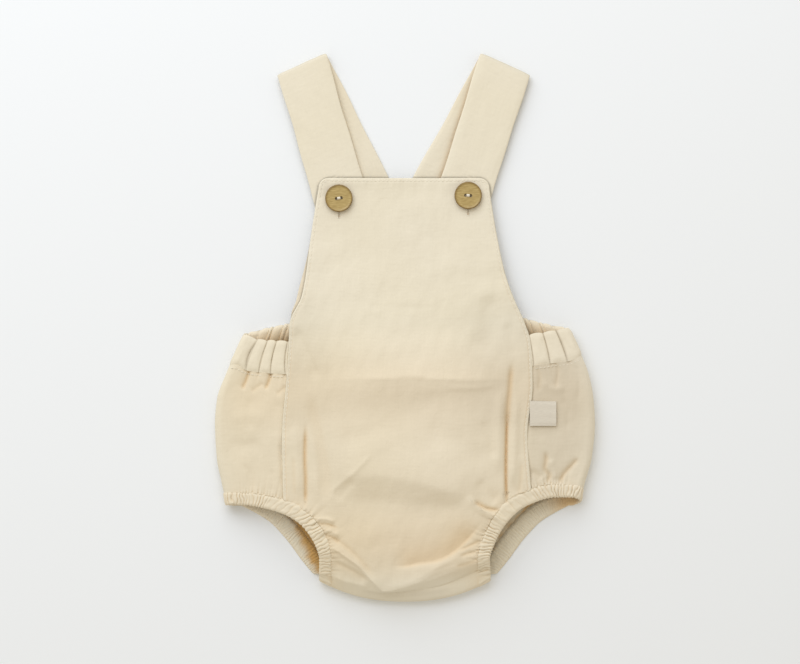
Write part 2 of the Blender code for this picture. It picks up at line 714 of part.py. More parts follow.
def side_label(home, surface):
    """A folded ribbon label sewn in at the right front seam, lying on the side."""

    def place(u, v):
        x = LABEL.x0 + (LABEL.x1 - LABEL.x0) * u
        y = LABEL.y0 + (LABEL.y1 - LABEL.y0) * v
        return (x, y, front_height(x, y) + LAYER_GAP + LABEL_WALL)

    obj = sheet("side_label", even(6), even(6), place, LABEL_WALL, home, surface)
    return obj


def button(side, home, surface):
    """A turned button: a dished face, a rounded rim and two thread holes."""
    profile = [  # radius and height, from the top's centre out and down to the underside
        (0.0, 0.80),
        (0.55, 0.80),
        (0.82, 0.92),
        (0.93, 1.0),
        (0.985, 0.9),
        (1.0, 0.6),
        (0.96, 0.2),
        (0.84, 0.0),
        (0.0, 0.0),
    ]
    bm = bmesh.new()
    verts = [bm.verts.new((r * BUTTON_RADIUS, 0.0, h * BUTTON_WALL)) for r, h in profile]
    for a, b in zip(verts, verts[1:]):
        bm.edges.new((a, b))
    name = f"button_{side}"
    obj = finish_mesh(name, bm, home, surface)
    turn = obj.modifiers.new("turned", "SCREW")
    turn.steps = turn.render_steps = 32
    turn.use_merge_vertices = True
    turn.merge_threshold = 0.0001
    for number, offset in enumerate((-BUTTON_HOLE_OFFSET, BUTTON_HOLE_OFFSET)):
        hole = bmesh.new()
        bmesh.ops.create_cone(
            hole,
            cap_ends=True,
            segments=12,
            radius1=BUTTON_HOLE_RADIUS,
            radius2=BUTTON_HOLE_RADIUS,
            depth=3 * BUTTON_WALL,
        )
        for vert in hole.verts:
            vert.co.x += offset
        cutter = finish_mesh(f"cut_{name}_{number}", hole, bpy.data.collections["cutters"], None)
        cutter.parent = obj
        cutter.hide_render = True
        cutter.display_type = "WIRE"
        drill = obj.modifiers.new(f"hole_{number}", "BOOLEAN")
        drill.operation = "DIFFERENCE"
        drill.object = cutter
    x, y = BUTTONS[side]
    rim = [2 * math.pi * k / 16 for k in range(16)]
    under = max(
        front_height(x + r * math.cos(a), y + r * math.sin(a)) for r in (0.0, 9.0) for a in rim
    )
    obj.location = (x * MM, y * MM, (under + BUTTON_LIFT) * MM)
    return obj


def main():
    clear_scene()
    home = collection("short_dungarees")
    collection("cutters")
    gauze = material("cream_double_gauze", (0.82, 0.73, 0.56), 0.95)
    ribbon = material("cotton_ribbon", (0.62, 0.57, 0.48), 0.9)
    shell = material("coconut_shell", (0.47, 0.36, 0.16), 0.5)
    front_panel(home, gauze)
    back_panel(home, gauze)
    waistband(home, gauze)
    for side in SIGN:
        leg_casing(side, home, gauze)
        strap(side, home, gauze)
        button(side, home, shell)
    armhole_facing("left", home, gauze)
    side_label(home, ribbon)


main()
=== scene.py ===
"""Short dungarees for a baby, laid flat on their back: crinkled cream double gauze, crossed straps
buttoned to the bib, an elastic waistband and elastic leg casings.

The surfaces are worked out in millimetres, +X to the right of the garment, +Y towards the
shoulder folds and +Z up from the floor, and become metres when a mesh is made.
"""

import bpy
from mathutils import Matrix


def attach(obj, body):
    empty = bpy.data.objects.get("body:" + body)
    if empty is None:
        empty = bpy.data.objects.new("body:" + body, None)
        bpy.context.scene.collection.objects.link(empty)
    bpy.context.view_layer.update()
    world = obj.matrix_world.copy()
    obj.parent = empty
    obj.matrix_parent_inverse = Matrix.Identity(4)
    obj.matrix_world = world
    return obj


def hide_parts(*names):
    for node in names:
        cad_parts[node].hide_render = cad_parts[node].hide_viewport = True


bl_info = {
    "name": "Short dungarees",
    "version": (1, 0, 0),
    "blender": (4, 5, 0),
    "location": "3D View > Sidebar > Dungarees",
    "description": "Baby dungarees in double gauze, laid flat, dressed over their solids",
    "category": "Add Mesh",
}

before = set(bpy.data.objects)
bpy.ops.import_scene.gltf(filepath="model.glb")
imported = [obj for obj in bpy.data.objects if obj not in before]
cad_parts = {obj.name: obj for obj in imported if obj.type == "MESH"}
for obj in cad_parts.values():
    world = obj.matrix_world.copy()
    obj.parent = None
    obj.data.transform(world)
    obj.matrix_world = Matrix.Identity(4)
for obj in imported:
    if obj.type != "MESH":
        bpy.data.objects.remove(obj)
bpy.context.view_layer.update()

import math
from collections import namedtuple

import bpy
import numpy as np
from bpy.props import FloatProperty, FloatVectorProperty, PointerProperty
from mathutils import Vector

MM = 0.001
SIDES = {"left": -1.0, "right": 1.0}


def table(columns, *rows):
    """Rows of numbers under named columns; the last column is 0 where a row leaves it out."""
    row = namedtuple("Row", columns, defaults=(0.0,))
    return [row(*values) for values in rows]


# -------------------- the garment's sizes, in mm
HALF_LENGTH = 200.3  # half of the whole length, shoulder fold to crotch
CLOTH = 0.8  # double gauze wall
BIB_TOP = 109.0
BIB_CORNER = 7.0
CROTCH_RADIUS = 4.5  # roll of the cloth where the front turns under
CROTCH_HALF = 54.0  # half the width of the crotch, from one leg opening to the other
CROTCH_RISE = 11.0  # how much higher its line is there than at the centre
CROTCH_LEVEL = 64.0  # past this |x| the line runs level
UNDER_LEAST = 0.8  # the turn-under line's least height above the crotch roll
BROW_LEAST = 1.4  # the brow line's least height above the turn-under line
FALL_TURN = math.radians(66)  # the stretch of a sine that the fall below the brow follows
LAP_DROP = 0.16  # the share of that fall that is the drop over the lap
BAND_RISE = 2.0  # how far the cloth rises from the crotch roll to that lap
WAIST_PUFF = 0.7  # how far an elastic band stands out, and how deep its inside lies
WAIST_DEPTH = 1.9
WAIST_WIDTH = 24.0
LEG_PUFF = 1.0
LEG_DEPTH = 1.0
LEG_WIDTH = 9.0
STRAP_WALL = 2.0
STRAP_WIDTH = 40.0
STRAP_FRONT = 116.0  # lengths along a strap: in front, round the shoulder fold, and behind
STRAP_FOLD = 6.0
STRAP_BACK = 205.0
STRAP_FOLD_RADIUS = 2.8
STRAP_FRONT_TOP = 5.1  # height of its upper side at the front end
STRAP_CROSS_LIFT = 2.35  # how far the left strap lifts the right one, and how soon that ends
STRAP_CROSS_RAMP = 18.0
STRAP_END_LIFT = 3.55  # how far the waistband lifts both, and how soon that ends
STRAP_END_RAMP = 16.0
FACING_LOW = 6.0  # the strip of armhole facing: its lower end's y, its length and its width
FACING_LENGTH = 60.0
FACING_WIDTH = 11.0
FACING_PEAK = 3.3  # how far it stands out from under the bib
FACING_BELOW = 1.55  # how far its surface lies below the bib's
LABEL_SEAM_X = 90.6  # the label: its sewn edge, its middle's y, its length and half its width
LABEL_Y = -62.3
LABEL_LENGTH = 19.3
LABEL_HALF = 9.1
LABEL_ABOVE = 1.3  # how far its surface lies above the cloth
LABEL_WALL = 0.8
BUTTON_RADIUS = 10.0
BUTTON_WALL = 3.0
BUTTON_ABOVE = 0.35  # the gap between the bib and a button
BUTTONHOLE_BELOW = 14.0  # how far the buttonhole reaches below and above the button's centre
BUTTONHOLE_ABOVE = 8.5
SATIN_THICK = 0.45  # its stitches, and the cloth that shows in its slit
SLIT_WALL = 0.3
SEAM_GAP = 0.35  # between the back and the front where the crotch turns under
CASING_TUCK = 0.3  # how far the cloth reaches under the edge of a leg casing
STITCH_INSET = 2.1  # from the front panel's edge to its topstitching
STITCH_ABOVE = 0.14  # how far the middle of that thread lies above the cloth
CORNER_POINTS = 7  # points along the front panel's edge: round the bib's corner, down the seam
SEAM_POINTS = 40
FRONT_SEED = 5  # of the cloth's soft crinkle, on the front panel and on the back panel
BACK_SEED = 8

BODY = table(  # half widths of the outline, height of its rolled edge, height at the centre
    "y left right edge crown",
    (-200, 127.0, 125.0, 11.4, 15.5),
    (-180, 128.0, 126.0, 11.7, 19.5),
    (-160, 129.0, 127.0, 12.0, 22.0),
    (-127, 131.2, 128.5, 12.0, 23.0),
    (-113, 134.0, 131.4, 12.0, 23.5),
    (-95, 137.4, 136.5, 12.0, 23.5),
    (-70, 138.7, 138.7, 12.0, 22.5),
    (-52, 137.2, 137.6, 11.8, 20.5),
    (-34, 130.9, 134.2, 11.4, 18.0),
    (-16, 122.8, 127.2, 11.0, 16.0),
    (-3, 117.2, 120.6, 10.4, 14.0),
    (20, 112.0, 114.0, 9.0, 11.6),
    (57, 108.0, 108.0, 7.6, 8.4),
    (90, 106.0, 106.0, 6.9, 7.2),
    (112, 105.0, 105.0, 6.7, 6.9),
)

FRONT_EDGE = table(  # the front panel's side edge, from the leg casing up to the bib's corner
    "y left right",
    (-128, 88.4, 92.4),
    (-115, 88.8, 91.4),
    (-78, 89.4, 89.0),
    (-42, 86.7, 93.0),
    (-13, 84.8, 92.0),
    (3, 84.0, 87.4),
    (10, 81.8, 84.4),
    (20, 76.2, 79.8),
    (38, 72.4, 73.4),
    (60, 69.6, 68.4),
    (93, 64.6, 62.8),
    (110, 61.6, 60.6),
)

# place: 0 front seam, 1 to 2 round the side, 3 centre back; the values are y
WAIST_TOP = table(
    "place left right",
    (0.0, -9.9, -5.1),
    (0.59, -9.1, -2.9),
    (0.86, -7.7, -1.6),
    (1.0, -6.4, -1.2),
    (1.5, -4.9, -0.6),
    (2.0, -3.2, 0.6),
    (2.07, -0.9, 2.2),
    (2.16, 1.2, 4.6),
    (2.26, 3.6, 7.8),
    (3.0, 11.3, 11.3),
)
WAIST_SEAM = table(
    "place left right",
    (0.0, -33.9, -27.9),
    (0.34, -33.2, -26.4),
    (0.5, -32.7, -25.6),
    (0.74, -31.4, -24.8),
    (0.87, -29.6, -23.9),
    (1.0, -27.4, -22.2),
    (1.5, -27.0, -19.5),
    (2.0, -26.6, -21.5),
    (2.26, -20.6, -17.8),
    (3.0, -12.7, -12.7),
)

LEG = "seam_x seam_y rim_x rim_y"
LEG_FRONT = {  # from the crotch out to the side; seam: panel edge, rim: edge of the opening
    "left": table(
        LEG,
        (53.6, -181.0, 62.6, -179.5),
        (53.1, -168.0, 62.2, -168.3),
        (55.2, -155.1, 64.2, -159.9),
        (65.7, -138.3, 75.2, -143.4),
        (85.4, -125.9, 91.6, -134.2),
        (112.4, -120.3, 113.9, -129.3),
        (125.4, -119.9, 124.4, -128.6),
    ),
    "right": table(
        LEG,
        (53.6, -181.0, 62.4, -179.5),
        (52.2, -168.0, 61.5, -168.0),
        (55.4, -155.0, 64.2, -158.4),
        (64.0, -136.6, 72.4, -143.4),
        (82.0, -121.2, 87.6, -129.8),
        (107.0, -113.8, 109.0, -123.4),
        (123.6, -114.6, 123.0, -123.6),
    ),
}
LEG_BACK = table(  # from the side in to the crotch, the same on both sides
    LEG,
    (119.0, -121.2, 119.6, -130.6),
    (106.0, -125.8, 110.0, -135.5),
    (93.4, -133.2, 100.0, -141.6),
    (78.8, -147.8, 86.7, -155.3),
    (67.0, -161.7, 76.1, -169.7),
    (57.4, -176.0, 67.4, -180.2),
)
SEAM_SPLIT_X = {"left": 88.6, "right": 92.2}  # where the front panel's edge meets a leg casing

BROW = table(  # where the front starts to fall to the crotch: a shallow V, its point left of centre
    "x y",
    (-60, -159.0), (-53.7, -162.4), (-45.3, -169.5), (-39.0, -172.9), (-31.8, -176.5),
    (-26.6, -181.5), (-21.4, -187.0), (-14.6, -192.4), (-9.0, -191.2), (0.0, -188.4),
    (11.0, -183.9), (21.9, -177.6), (32.9, -174.4), (43.8, -171.5), (60, -167.0),
)
TURN_UNDER = table(  # the crease where the front laps over the cloth that turns under
    "x y",
    (-56, -179.5), (-53.7, -181.2), (-47.5, -186.5), (-37.2, -190.2), (-18.3, -193.3),
    (-3.7, -192.4), (6.6, -191.0), (21.9, -188.8), (32.9, -185.6), (43.8, -180.8),
    (52.6, -177.0), (56, -176.0),
)

Strap = namedtuple("Strap", "fold_outer fold_inner front_outer front_inner back_outer back_inner")
STRAPS = {
    "left": Strap(
        (-93.4, 184.3), (-57.8, 200.3), (-61.2, 74.0), (-24.1, 85.2), (3.3, -6.0), (47.9, -6.0)
    ),
    "right": Strap(
        (91.3, 184.3), (55.5, 200.3), (56.6, 74.0), (18.6, 86.0), (-13.7, -6.0), (-58.3, -6.0)
    ),
}
BUTTONS = {"left": (-48.2, 94.2), "right": (46.0, 96.2)}

CREASE = "path left right height crisp warm"
# path: points that the crease runs through; left and right: its width on either side of that
# way; height: above zero a ridge, below zero a trough; crisp: 2 is soft, 1 has a sharp crest;
# the last column: painted shade, how much of a fold's deeper, warmer cream is painted at its bottom
FRONT_CREASES = table(
    CREASE,
    # the bib's lower fold line, a second one below it, and the hollow under them
    (
        [(-46, -37.5), (-14.6, -36.9), (4.9, -35.3), (24, -37.4), (51, -38.3), (74, -37)],
        17, 13, 2.5, 1.8,
    ),
    (
        [(-42, -37.1), (-14.6, -36.9), (4.9, -35.3), (24, -37.4), (51, -38.3), (72, -37)],
        3.0, 1.4, 0.55, 1.2,
    ),
    ([(26, -44), (47.5, -44.2), (68, -41.5)], 3.0, 1.5, 0.6, 1.3),
    ([(30, -58), (4, -63), (-14, -69), (-33, -78), (-58, -83)], 9.0, 9.0, -0.9, 2.0),
    ([(10, -70), (36.5, -82), (66, -100)], 9.0, 9.0, -1.0, 2.0),
    # the belly puff and the hollow under it
    (
        [(-56, -112), (-37, -105.5), (-14.6, -106), (9, -110), (33, -117), (56, -124)],
        22, 8.5, 3.0, 1.9,
    ),
    ([(-52, -124), (-18, -127), (11, -130), (50, -134)], 7.0, 16.0, -1.5, 2.0),
    # the crisp ridge that runs down and left of the puff
    (
        [(-22, -89), (-37.2, -105.4), (-45.3, -112), (-51.8, -118.6), (-53, -129)],
        1.5, 2.4, 0.85, 1.2,
    ),
    ([(-36, -110), (-43, -117), (-49, -126)], 2.4, 4.0, -0.9, 1.6),
    # the long creases beside the left seam
    (
        [(-72.0, -68), (-72.4, -80), (-72.7, -95), (-72.1, -111), (-72.4, -134)],
        1.5, 1.3, -2.0, 1.3, 0.36,
    ),
    (
        [(-69.6, -44), (-66, -62), (-61, -84), (-56.9, -107.7), (-56.4, -130)],
        3.2, 5.5, -1.2, 1.7, 0.05,
    ),
    ([(-67.5, -74), (-64.5, -100), (-63.5, -130)], 3.0, 3.0, 1.0, 2.0),
    ([(-80, -66), (-78.6, -96), (-77.6, -126)], 3.0, 3.0, 0.9, 2.0),
    ([(-81, -92), (-80.6, -108), (-80, -124)], 1.4, 1.2, -0.5, 1.2, 0.08),
    # the long creases beside the right seam: a strong lower one, and a faint one that leads to it
    ([(74.6, -58), (73.6, -78), (73.2, -104), (74.2, -136)], 1.1, 1.2, -2.8, 1.5, 0.42),
    ([(77.8, -24), (76.4, -42), (74.6, -60), (73.7, -76)], 1.8, 2.2, -1.9, 1.6, 0.26),
    ([(69, -44), (68, -76), (67, -108)], 3.6, 3.6, 1.3, 2.0),
    ([(81, -44), (79.6, -80), (77.6, -118)], 3.0, 3.0, 1.3, 2.0),
    ([(85, -96), (84, -110), (82, -124)], 1.6, 1.4, -0.6, 1.2, 0.1),
    ([(56, -66), (61, -80), (65, -96)], 2.4, 3.0, -0.8, 1.4),
    # dents beside the waist
    ([(-80, 2), (-75, -10), (-67, -28), (-62, -40)], 3.4, 7.0, -1.6, 1.6),
    ([(60, 26), (62, 8), (58, -8), (50, -20)], 10.0, 8.0, -1.9, 2.0),
    ([(72, 4), (77, -8), (78, -22)], 4.0, 4.0, -0.8, 2.0),
    # pulls from the right leg casing
    ([(44, -121), (52.6, -129.6), (58.9, -133.7), (65, -136.1), (74, -136.4)], 1.5, 3.2, 2.0, 1.2),
    ([(49, -125), (55, -129), (61, -131.4), (70, -132.6)], 1.6, 1.2, -1.7, 1.2, 0.35),
    ([(52, -110), (60, -120), (68, -127)], 5.0, 5.0, -1.0, 1.8),
    (
        [
            (-12, -173), (0, -172.3), (11, -170.2), (21.9, -168.6), (32.9, -163.6),
            (43.8, -154.4), (50, -147.5), (56, -141),
        ],
        12.0, 1.9, -1.9, 1.4, 0.2,
    ),
    ([(38, -161.6), (43.8, -159.4), (50, -156.6), (56, -154)], 1.2, 1.4, -0.9, 1.3, 0.14),
    ([(39, -165.6), (43.8, -164.3), (50, -162.5), (56, -160.5)], 1.2, 1.4, -0.9, 1.3, 0.12),
    ([(36, -173.6), (43.8, -171.6), (50, -169.4), (56, -167.4)], 1.6, 1.8, -1.0, 1.3, 0.12),
    # pulls from the left leg casing
    ([(-66, -138.6), (-58, -138.6), (-50, -141)], 1.3, 2.0, 1.2, 1.3),
    ([(-66, -142), (-57, -142.6), (-48, -145.6)], 1.2, 1.5, -1.1, 1.2, 0.15),
    ([(-62, -146), (-55, -147), (-47, -151)], 1.6, 2.0, 1.0, 1.3),
    ([(-62, -149.4), (-54, -151.6), (-46, -156.6)], 1.3, 1.7, -1.3, 1.2, 0.15),
    # the flap above the crotch: a trough and a ridge on its left arm, a broad ridge on its right
    (
        [(-56, -150.5), (-50, -153.6), (-43.8, -158), (-32.9, -168), (-21.9, -182)],
        2.0, 1.5, -0.8, 1.4, 0.08,
    ),
    (
        [
            (-58, -158), (-50, -161), (-43.8, -165.4), (-32.9, -173.4), (-26, -181.6),
            (-20, -187.6), (-15, -191.6),
        ],
        4.2, 1.5, 2.2, 1.2,
    ),
    (
        [(-20, -188.6), (-4, -187.4), (11, -181), (21.9, -174.4), (32.9, -169), (42, -165)],
        5.0, 3.0, 0.8, 1.5,
    ),
    # small folds on the fall below it
    ([(-54, -168.5), (-43.8, -173.2), (-32.9, -179.4), (-26, -184.4)], 1.6, 3.0, -1.3, 1.5, 0.06),
    ([(-52, -180), (-43.8, -184.4), (-32.9, -187), (-25, -189.4)], 3.2, 2.4, 1.4, 1.5),
    ([(2, -188.6), (18, -183.6), (32, -178), (44, -174.6)], 2.4, 2.8, 0.9, 1.5),
    # faint fold line across the bib
    ([(-36, 16), (-6, 14.5), (26, 15)], 2.4, 2.0, -0.22, 1.5),
)
SIDE_CREASES = table(  # on the cloth that wraps round the sides
    CREASE,
    # out of the waistband
    ([(-113, -29), (-115, -36), (-119, -46)], 1.0, 1.9, -1.9, 1.2, 0.22),
    ([(-97.5, -30), (-99, -37), (-102.6, -46)], 1.0, 1.7, -1.9, 1.2, 0.22),
    ([(-87, -42), (-91, -46), (-95, -49)], 2.0, 2.0, -0.8, 1.4, 0.06),
    ([(-103, -40), (-107, -43), (-113, -47)], 1.6, 2.4, -0.7, 1.5, 0.06),
    ([(-112, -50), (-115, -62), (-112, -76)], 3.0, 3.0, -0.5, 1.8),
    ([(-92, -52), (-96, -66), (-94, -80)], 4.0, 4.0, -0.5, 2.0),
    ([(96, -27), (99, -36), (98, -48)], 1.5, 2.6, -0.9, 1.4, 0.06),
    ([(108, -22), (112, -32), (110, -46)], 1.5, 2.4, -1.0, 1.3, 0.06),
    ([(122, -24), (127, -38), (126, -56)], 2.4, 2.6, -0.8, 1.6),
    ([(100, -38), (108, -44), (118, -44)], 2.6, 3.4, 0.8, 1.8),
    ([(114, -50), (119, -62), (118, -76)], 2.2, 2.8, -0.6, 1.6),
    # out of the leg casings
    (
        [(102, -89), (103.4, -95), (102.6, -102), (105.6, -108), (103, -115)],
        1.5, 1.9, -1.6, 1.3, 0.2,
    ),
    ([(127, -94), (124, -98), (119.2, -103), (115.4, -108), (112, -115)], 1.5, 2.2, -1.8, 1.3, 0.2),
    ([(105.8, -95), (109, -102.5), (110.4, -111)], 2.4, 2.2, 1.0, 1.6),
    ([(90, -104), (96, -106), (101, -110)], 2.6, 3.0, -0.8, 1.8, 0.05),
    ([(122, -100), (119, -108), (118, -115)], 1.4, 1.6, -0.7, 1.4),
    ([(-118, -98), (-113, -108), (-111, -119)], 2.0, 2.2, -0.5, 1.5),
    ([(-98, -102), (-97, -112), (-97, -121)], 1.8, 2.2, -0.5, 1.4),
    ([(-130, -84), (-118, -86), (-104, -84)], 4.0, 5.0, -0.6, 2.0),
    ([(-128, -68), (-116, -64), (-102, -66)], 4.0, 5.0, 0.5, 2.0),
    ([(-92, -80), (-91, -100), (-90.4, -120)], 1.8, 1.8, -0.6, 1.3, 0.06),
)

PAINTED_SHADE_BY_Y = table(  # painted shade by y: how much deeper and warmer the cloth's colour is painted, and how much greyer
    "y warm dim",
    (-200, 0.02, 0.05),
    (-188, 0.03, 0.0),
    (-172, 0.18, 0.03),
    (-155, 0.24, 0.05),
    (-125, 0.14, 0.05),
    (-90, 0.11, 0.09),
    (-45, 0.2, 0.16),
    (-15, 0.08, 0.13),
    (5, 0.0, 0.0),
)

WAIST_VALLEYS = {  # places round the band of the lines between its pleats, from the front seam
    "left": (0.065, 0.33, 0.547, 0.8, 1.5, 1.85),
    "right": (0.048, 0.42, 0.8, 1.5, 1.85),
}
WAIST_BACK_GATHERS = 22  # on each half of the back, from this place to the centre
WAIST_BACK_START = 2.06

RIB = "share pitch height"
LEG_RIBS = {  # along the front of a leg casing, from the crotch (0) to the side (1)
    "left": table(
        RIB,
        (0.0, 2.8, 1.0),
        (0.2, 2.6, 1.3),
        (0.36, 2.9, 1.2),
        (0.45, 3.3, 1.5),
        (0.53, 3.8, 1.2),
        (0.58, 4.6, 0.65),
        (0.68, 4.2, 0.6),
        (0.75, 2.6, 1.0),
        (1.0, 2.4, 1.25),
    ),
    "right": table(
        RIB,
        (0.0, 2.5, 1.2),
        (0.34, 2.5, 1.4),
        (0.44, 3.4, 0.8),
        (0.5, 4.6, 0.5),
        (0.64, 4.4, 0.55),
        (0.7, 3.2, 1.0),
        (0.78, 2.4, 1.3),
        (1.0, 2.4, 1.3),
    ),
}
BACK_RIB_PITCH = 2.0
SIDE_RIBS = 7  # of a leg casing, round the side and round the crotch roll
CROTCH_RIBS = 5
LEG_FRONT_LENGTH = 120.0  # of a leg casing's front stretch, about
PUCKERS_OUTSIDE = 44.0  # the casings' puckers lie past this |x| and below this y
PUCKERS_BELOW = -88.0
GIRTH_LENGTHS = (0, 42, 60, 190, 320, 338, 380)  # mm round the body at `across` 0 to 6
PLEAT_REACH = 4.0  # how soon the waist's pleats die away in the cloth below them
BACK_CASING_EXTRA = {"left": 2.0, "right": 3.2}  # how much wider the casing shows inside the back
RIB_SEED = {"left": 11, "right": 23}
BUTTON_TILT = {"left": math.radians(8), "right": math.radians(-5)}  # of the line of its holes


# -------------------- curves and surfaces
def chosen(group):
    """The values that the user has chosen in one group of settings."""
    return getattr(bpy.context.scene, f"dungarees_{group}")


def curve(xs, ys, x):
    """The value at x of a curve through (xs, ys) that never overshoots: on each stretch the cubic
    (1+2t)(1-t)²·y0 + t(1-t)²·h·m0 + t²(3-2t)·y1 - t²(1-t)·h·m1, where a point's slope m is the
    harmonic mean of the slopes beside it, or 0 at a turn."""
    xs, ys = np.asarray(xs, float), np.asarray(ys, float)
    x = np.clip(x, xs[0], xs[-1])
    steps = np.diff(xs)
    slopes = np.diff(ys) / steps
    product = slopes[:-1] * slopes[1:]
    total = np.where(product > 0, slopes[:-1] + slopes[1:], 1.0)
    m = np.concatenate([slopes[:1], np.where(product > 0, 2 * product / total, 0.0), slopes[-1:]])
    k = np.clip(np.searchsorted(xs, x, side="right") - 1, 0, len(steps) - 1)
    h = steps[k]
    t = (x - xs[k]) / h
    start = (1 + 2 * t) * (1 - t) ** 2 * ys[k] + t * (1 - t) ** 2 * h * m[k]
    return start + t * t * (3 - 2 * t) * ys[k + 1] - t * t * (1 - t) * h * m[k + 1]


def read(table, along, column, value):
    """A table's column, read smoothly at a value of its leading column."""
    rows = sorted(table, key=lambda row: getattr(row, along))
    return curve([getattr(r, along) for r in rows], [getattr(r, column) for r in rows], value)


def by_side(table, left, y):
    """A table's left column at y where left holds, and its right one elsewhere."""
    return np.where(left, read(table, "y", "left", y), read(table, "y", "right", y))


def ease(t):
    """t²(3-2t), held to 0 below 0 and to 1 above 1."""
    t = np.clip(t, 0.0, 1.0)
    return t * t * (3 - 2 * t)


def window(t, low, low_ramp, high, high_ramp):
    """0 outside low and high, and eased up to 1 over a ramp inside each: ease((t - low) / ramp) ·
    ease((high - t) / ramp)."""
    return ease((t - low) / low_ramp) * ease((high - t) / high_ramp)


def bump_at(t, place, width):
    """exp(-((t - place) / width)²)."""
    return np.exp(-(((t - place) / width) ** 2))


def joined(*parts):
    """Arrays of x, y and z, or of two coordinates, as one array of points."""
    return np.stack(np.broadcast_arrays(*parts), axis=-1)


def full_turn(count):
    """Angles evenly spaced round a full turn."""
    return np.linspace(0, 2 * math.pi, count, endpoint=False)


def running_length(points):
    """The length along a line of points up to each of them: the running sum of its steps."""
    steps = np.linalg.norm(np.diff(points, axis=0), axis=1)
    return np.concatenate([[0.0], np.cumsum(steps)])


def spaced(count, density):
    """count values from 0 to 1, closest where density(value) is greatest: equal steps of the
    density's running sum."""
    t = np.linspace(0, 1, 2001)
    total = np.concatenate([[0], np.cumsum((density(t)[1:] + density(t)[:-1]) / 2)])
    return np.interp(np.linspace(0, total[-1], count), total, t)


def path_points(path, count):
    """Points spaced evenly along a smooth curve through a short list of points."""
    path = np.asarray(path, float)
    at = running_length(path)
    share = np.linspace(0, at[-1], count)
    return np.stack([curve(at, column, share) for column in path.T], axis=-1)


def from_path(x, y, path, count=28):
    """Where points lie beside a path: their share of the way along it, and their signed distance,
    positive to its right, both from the nearest of the path's short straight pieces."""
    route = path_points(path, count)
    start, step = route[:-1], np.diff(route, axis=0)
    length = np.linalg.norm(step, axis=1)
    dx, dy = x[..., None] - start[:, 0], y[..., None] - start[:, 1]
    t = np.clip((dx * step[:, 0] + dy * step[:, 1]) / length**2, 0, 1)
    away = np.hypot(dx - t * step[:, 0], dy - t * step[:, 1])
    nearest = np.argmin(away, axis=-1)
    pick = (*np.indices(x.shape), nearest)
    turn = np.sign(step[nearest, 1] * dx[pick] - step[nearest, 0] * dy[pick])
    return (nearest + t[pick]) / (count - 1), turn * away[pick]


def crease_relief(x, y, creases):
    """The sum over the creases of height · taper(t) · exp(-|d/w|^crisp): t is the share of the
    way along, the taper rises over its first and last fifth, d is the distance from the path and
    w the width on that side. Beside it, painted shade for the crease's bottom: the greatest of its
    last column · taper(t) · exp(-(d/w)²)."""
    relief, warm = np.zeros_like(x), np.zeros_like(x)
    for crease in creases:
        reach = 3.2 * max(crease.left, crease.right)
        path = np.array(crease.path, float)
        near = (x > path[:, 0].min() - reach) & (x < path[:, 0].max() + reach)
        near &= (y > path[:, 1].min() - reach) & (y < path[:, 1].max() + reach)
        if not near.any():
            continue
        t, d = from_path(x[near], y[near], path)
        width = np.where(d > 0, crease.right, crease.left)
        taper = ease(t / 0.22) * ease((1 - t) / 0.22)
        relief[near] += crease.height * taper * np.exp(-(np.abs(d / width) ** crease.crisp))
        if crease.warm:
            glow = crease.warm * taper * np.exp(-((d / width) ** 2))
            warm[near] = np.maximum(warm[near], glow)
    return relief, warm


def crinkle(u, v, seed, length, depth, stretch=1.0):
    """Soft uneven wrinkles: depth · tanh of a sum of 18 cosine waves in seeded directions, with
    wavelengths from length to 3·length. stretch above 1 draws them out along v."""
    rng = np.random.default_rng(seed)
    total = np.zeros(np.broadcast(u, v).shape)
    for _ in range(18):
        turn, phase = rng.uniform(0, 2 * math.pi, 2)
        wave = 2 * math.pi / (length * rng.uniform(1, 3))
        total += np.cos(wave * (u * math.cos(turn) + v * math.sin(turn) / stretch) + phase)
    return depth * np.tanh(total / 3.2)


def crotch_line(x):
    """y of the outermost line of the crotch roll: -half length + rise · (|x| / half)^2.3, and
    level past the leg openings."""
    out = np.minimum(np.abs(x), CROTCH_LEVEL) / CROTCH_HALF
    return -HALF_LENGTH + CROTCH_RISE * out**2.3


def front_height(x, y):
    """z of the front's outer surface. Each section is a crown, edge + crown · (1 - a²)^1.5, with
    a the share of the way across. Below the brow line it falls by a sine to the turn-under line,
    drops over the lap there, and a quarter round leads on to the crotch roll. The front's creases
    are added, and die away towards the sides and towards the turn-under line."""
    x, y = np.broadcast_arrays(np.asarray(x, float), np.asarray(y, float))
    half = by_side(BODY, x < 0, y)
    edge = read(BODY, "y", "edge", y)
    across = np.minimum(np.abs(x) / (half - edge / 2), 1.0)
    crown = read(BODY, "y", "crown", y) - edge
    body = edge + crown * (1 - across**2) ** 1.5
    hem = crotch_line(x) + CROTCH_RADIUS
    under = np.maximum(read(TURN_UNDER, "x", "y", x), hem + UNDER_LEAST)
    brow = np.maximum(read(BROW, "x", "y", x), under + BROW_LEAST)
    turn = np.clip((y - hem) / (under - hem), 0, 1) * math.pi / 2
    band = 2 * CROTCH_RADIUS + BAND_RISE * np.sin(turn)
    climb = np.sin(np.clip((y - under) / (brow - under), 0, 1) * FALL_TURN)
    rise = LAP_DROP * ease((y - under) / 0.9) + (1 - LAP_DROP) * climb / math.sin(FALL_TURN)
    calm = ease((1 - across) / 0.12) * ease((y - under) / 3.0)
    return band + (body - band) * rise + crease_relief(x, y, FRONT_CREASES)[0] * calm


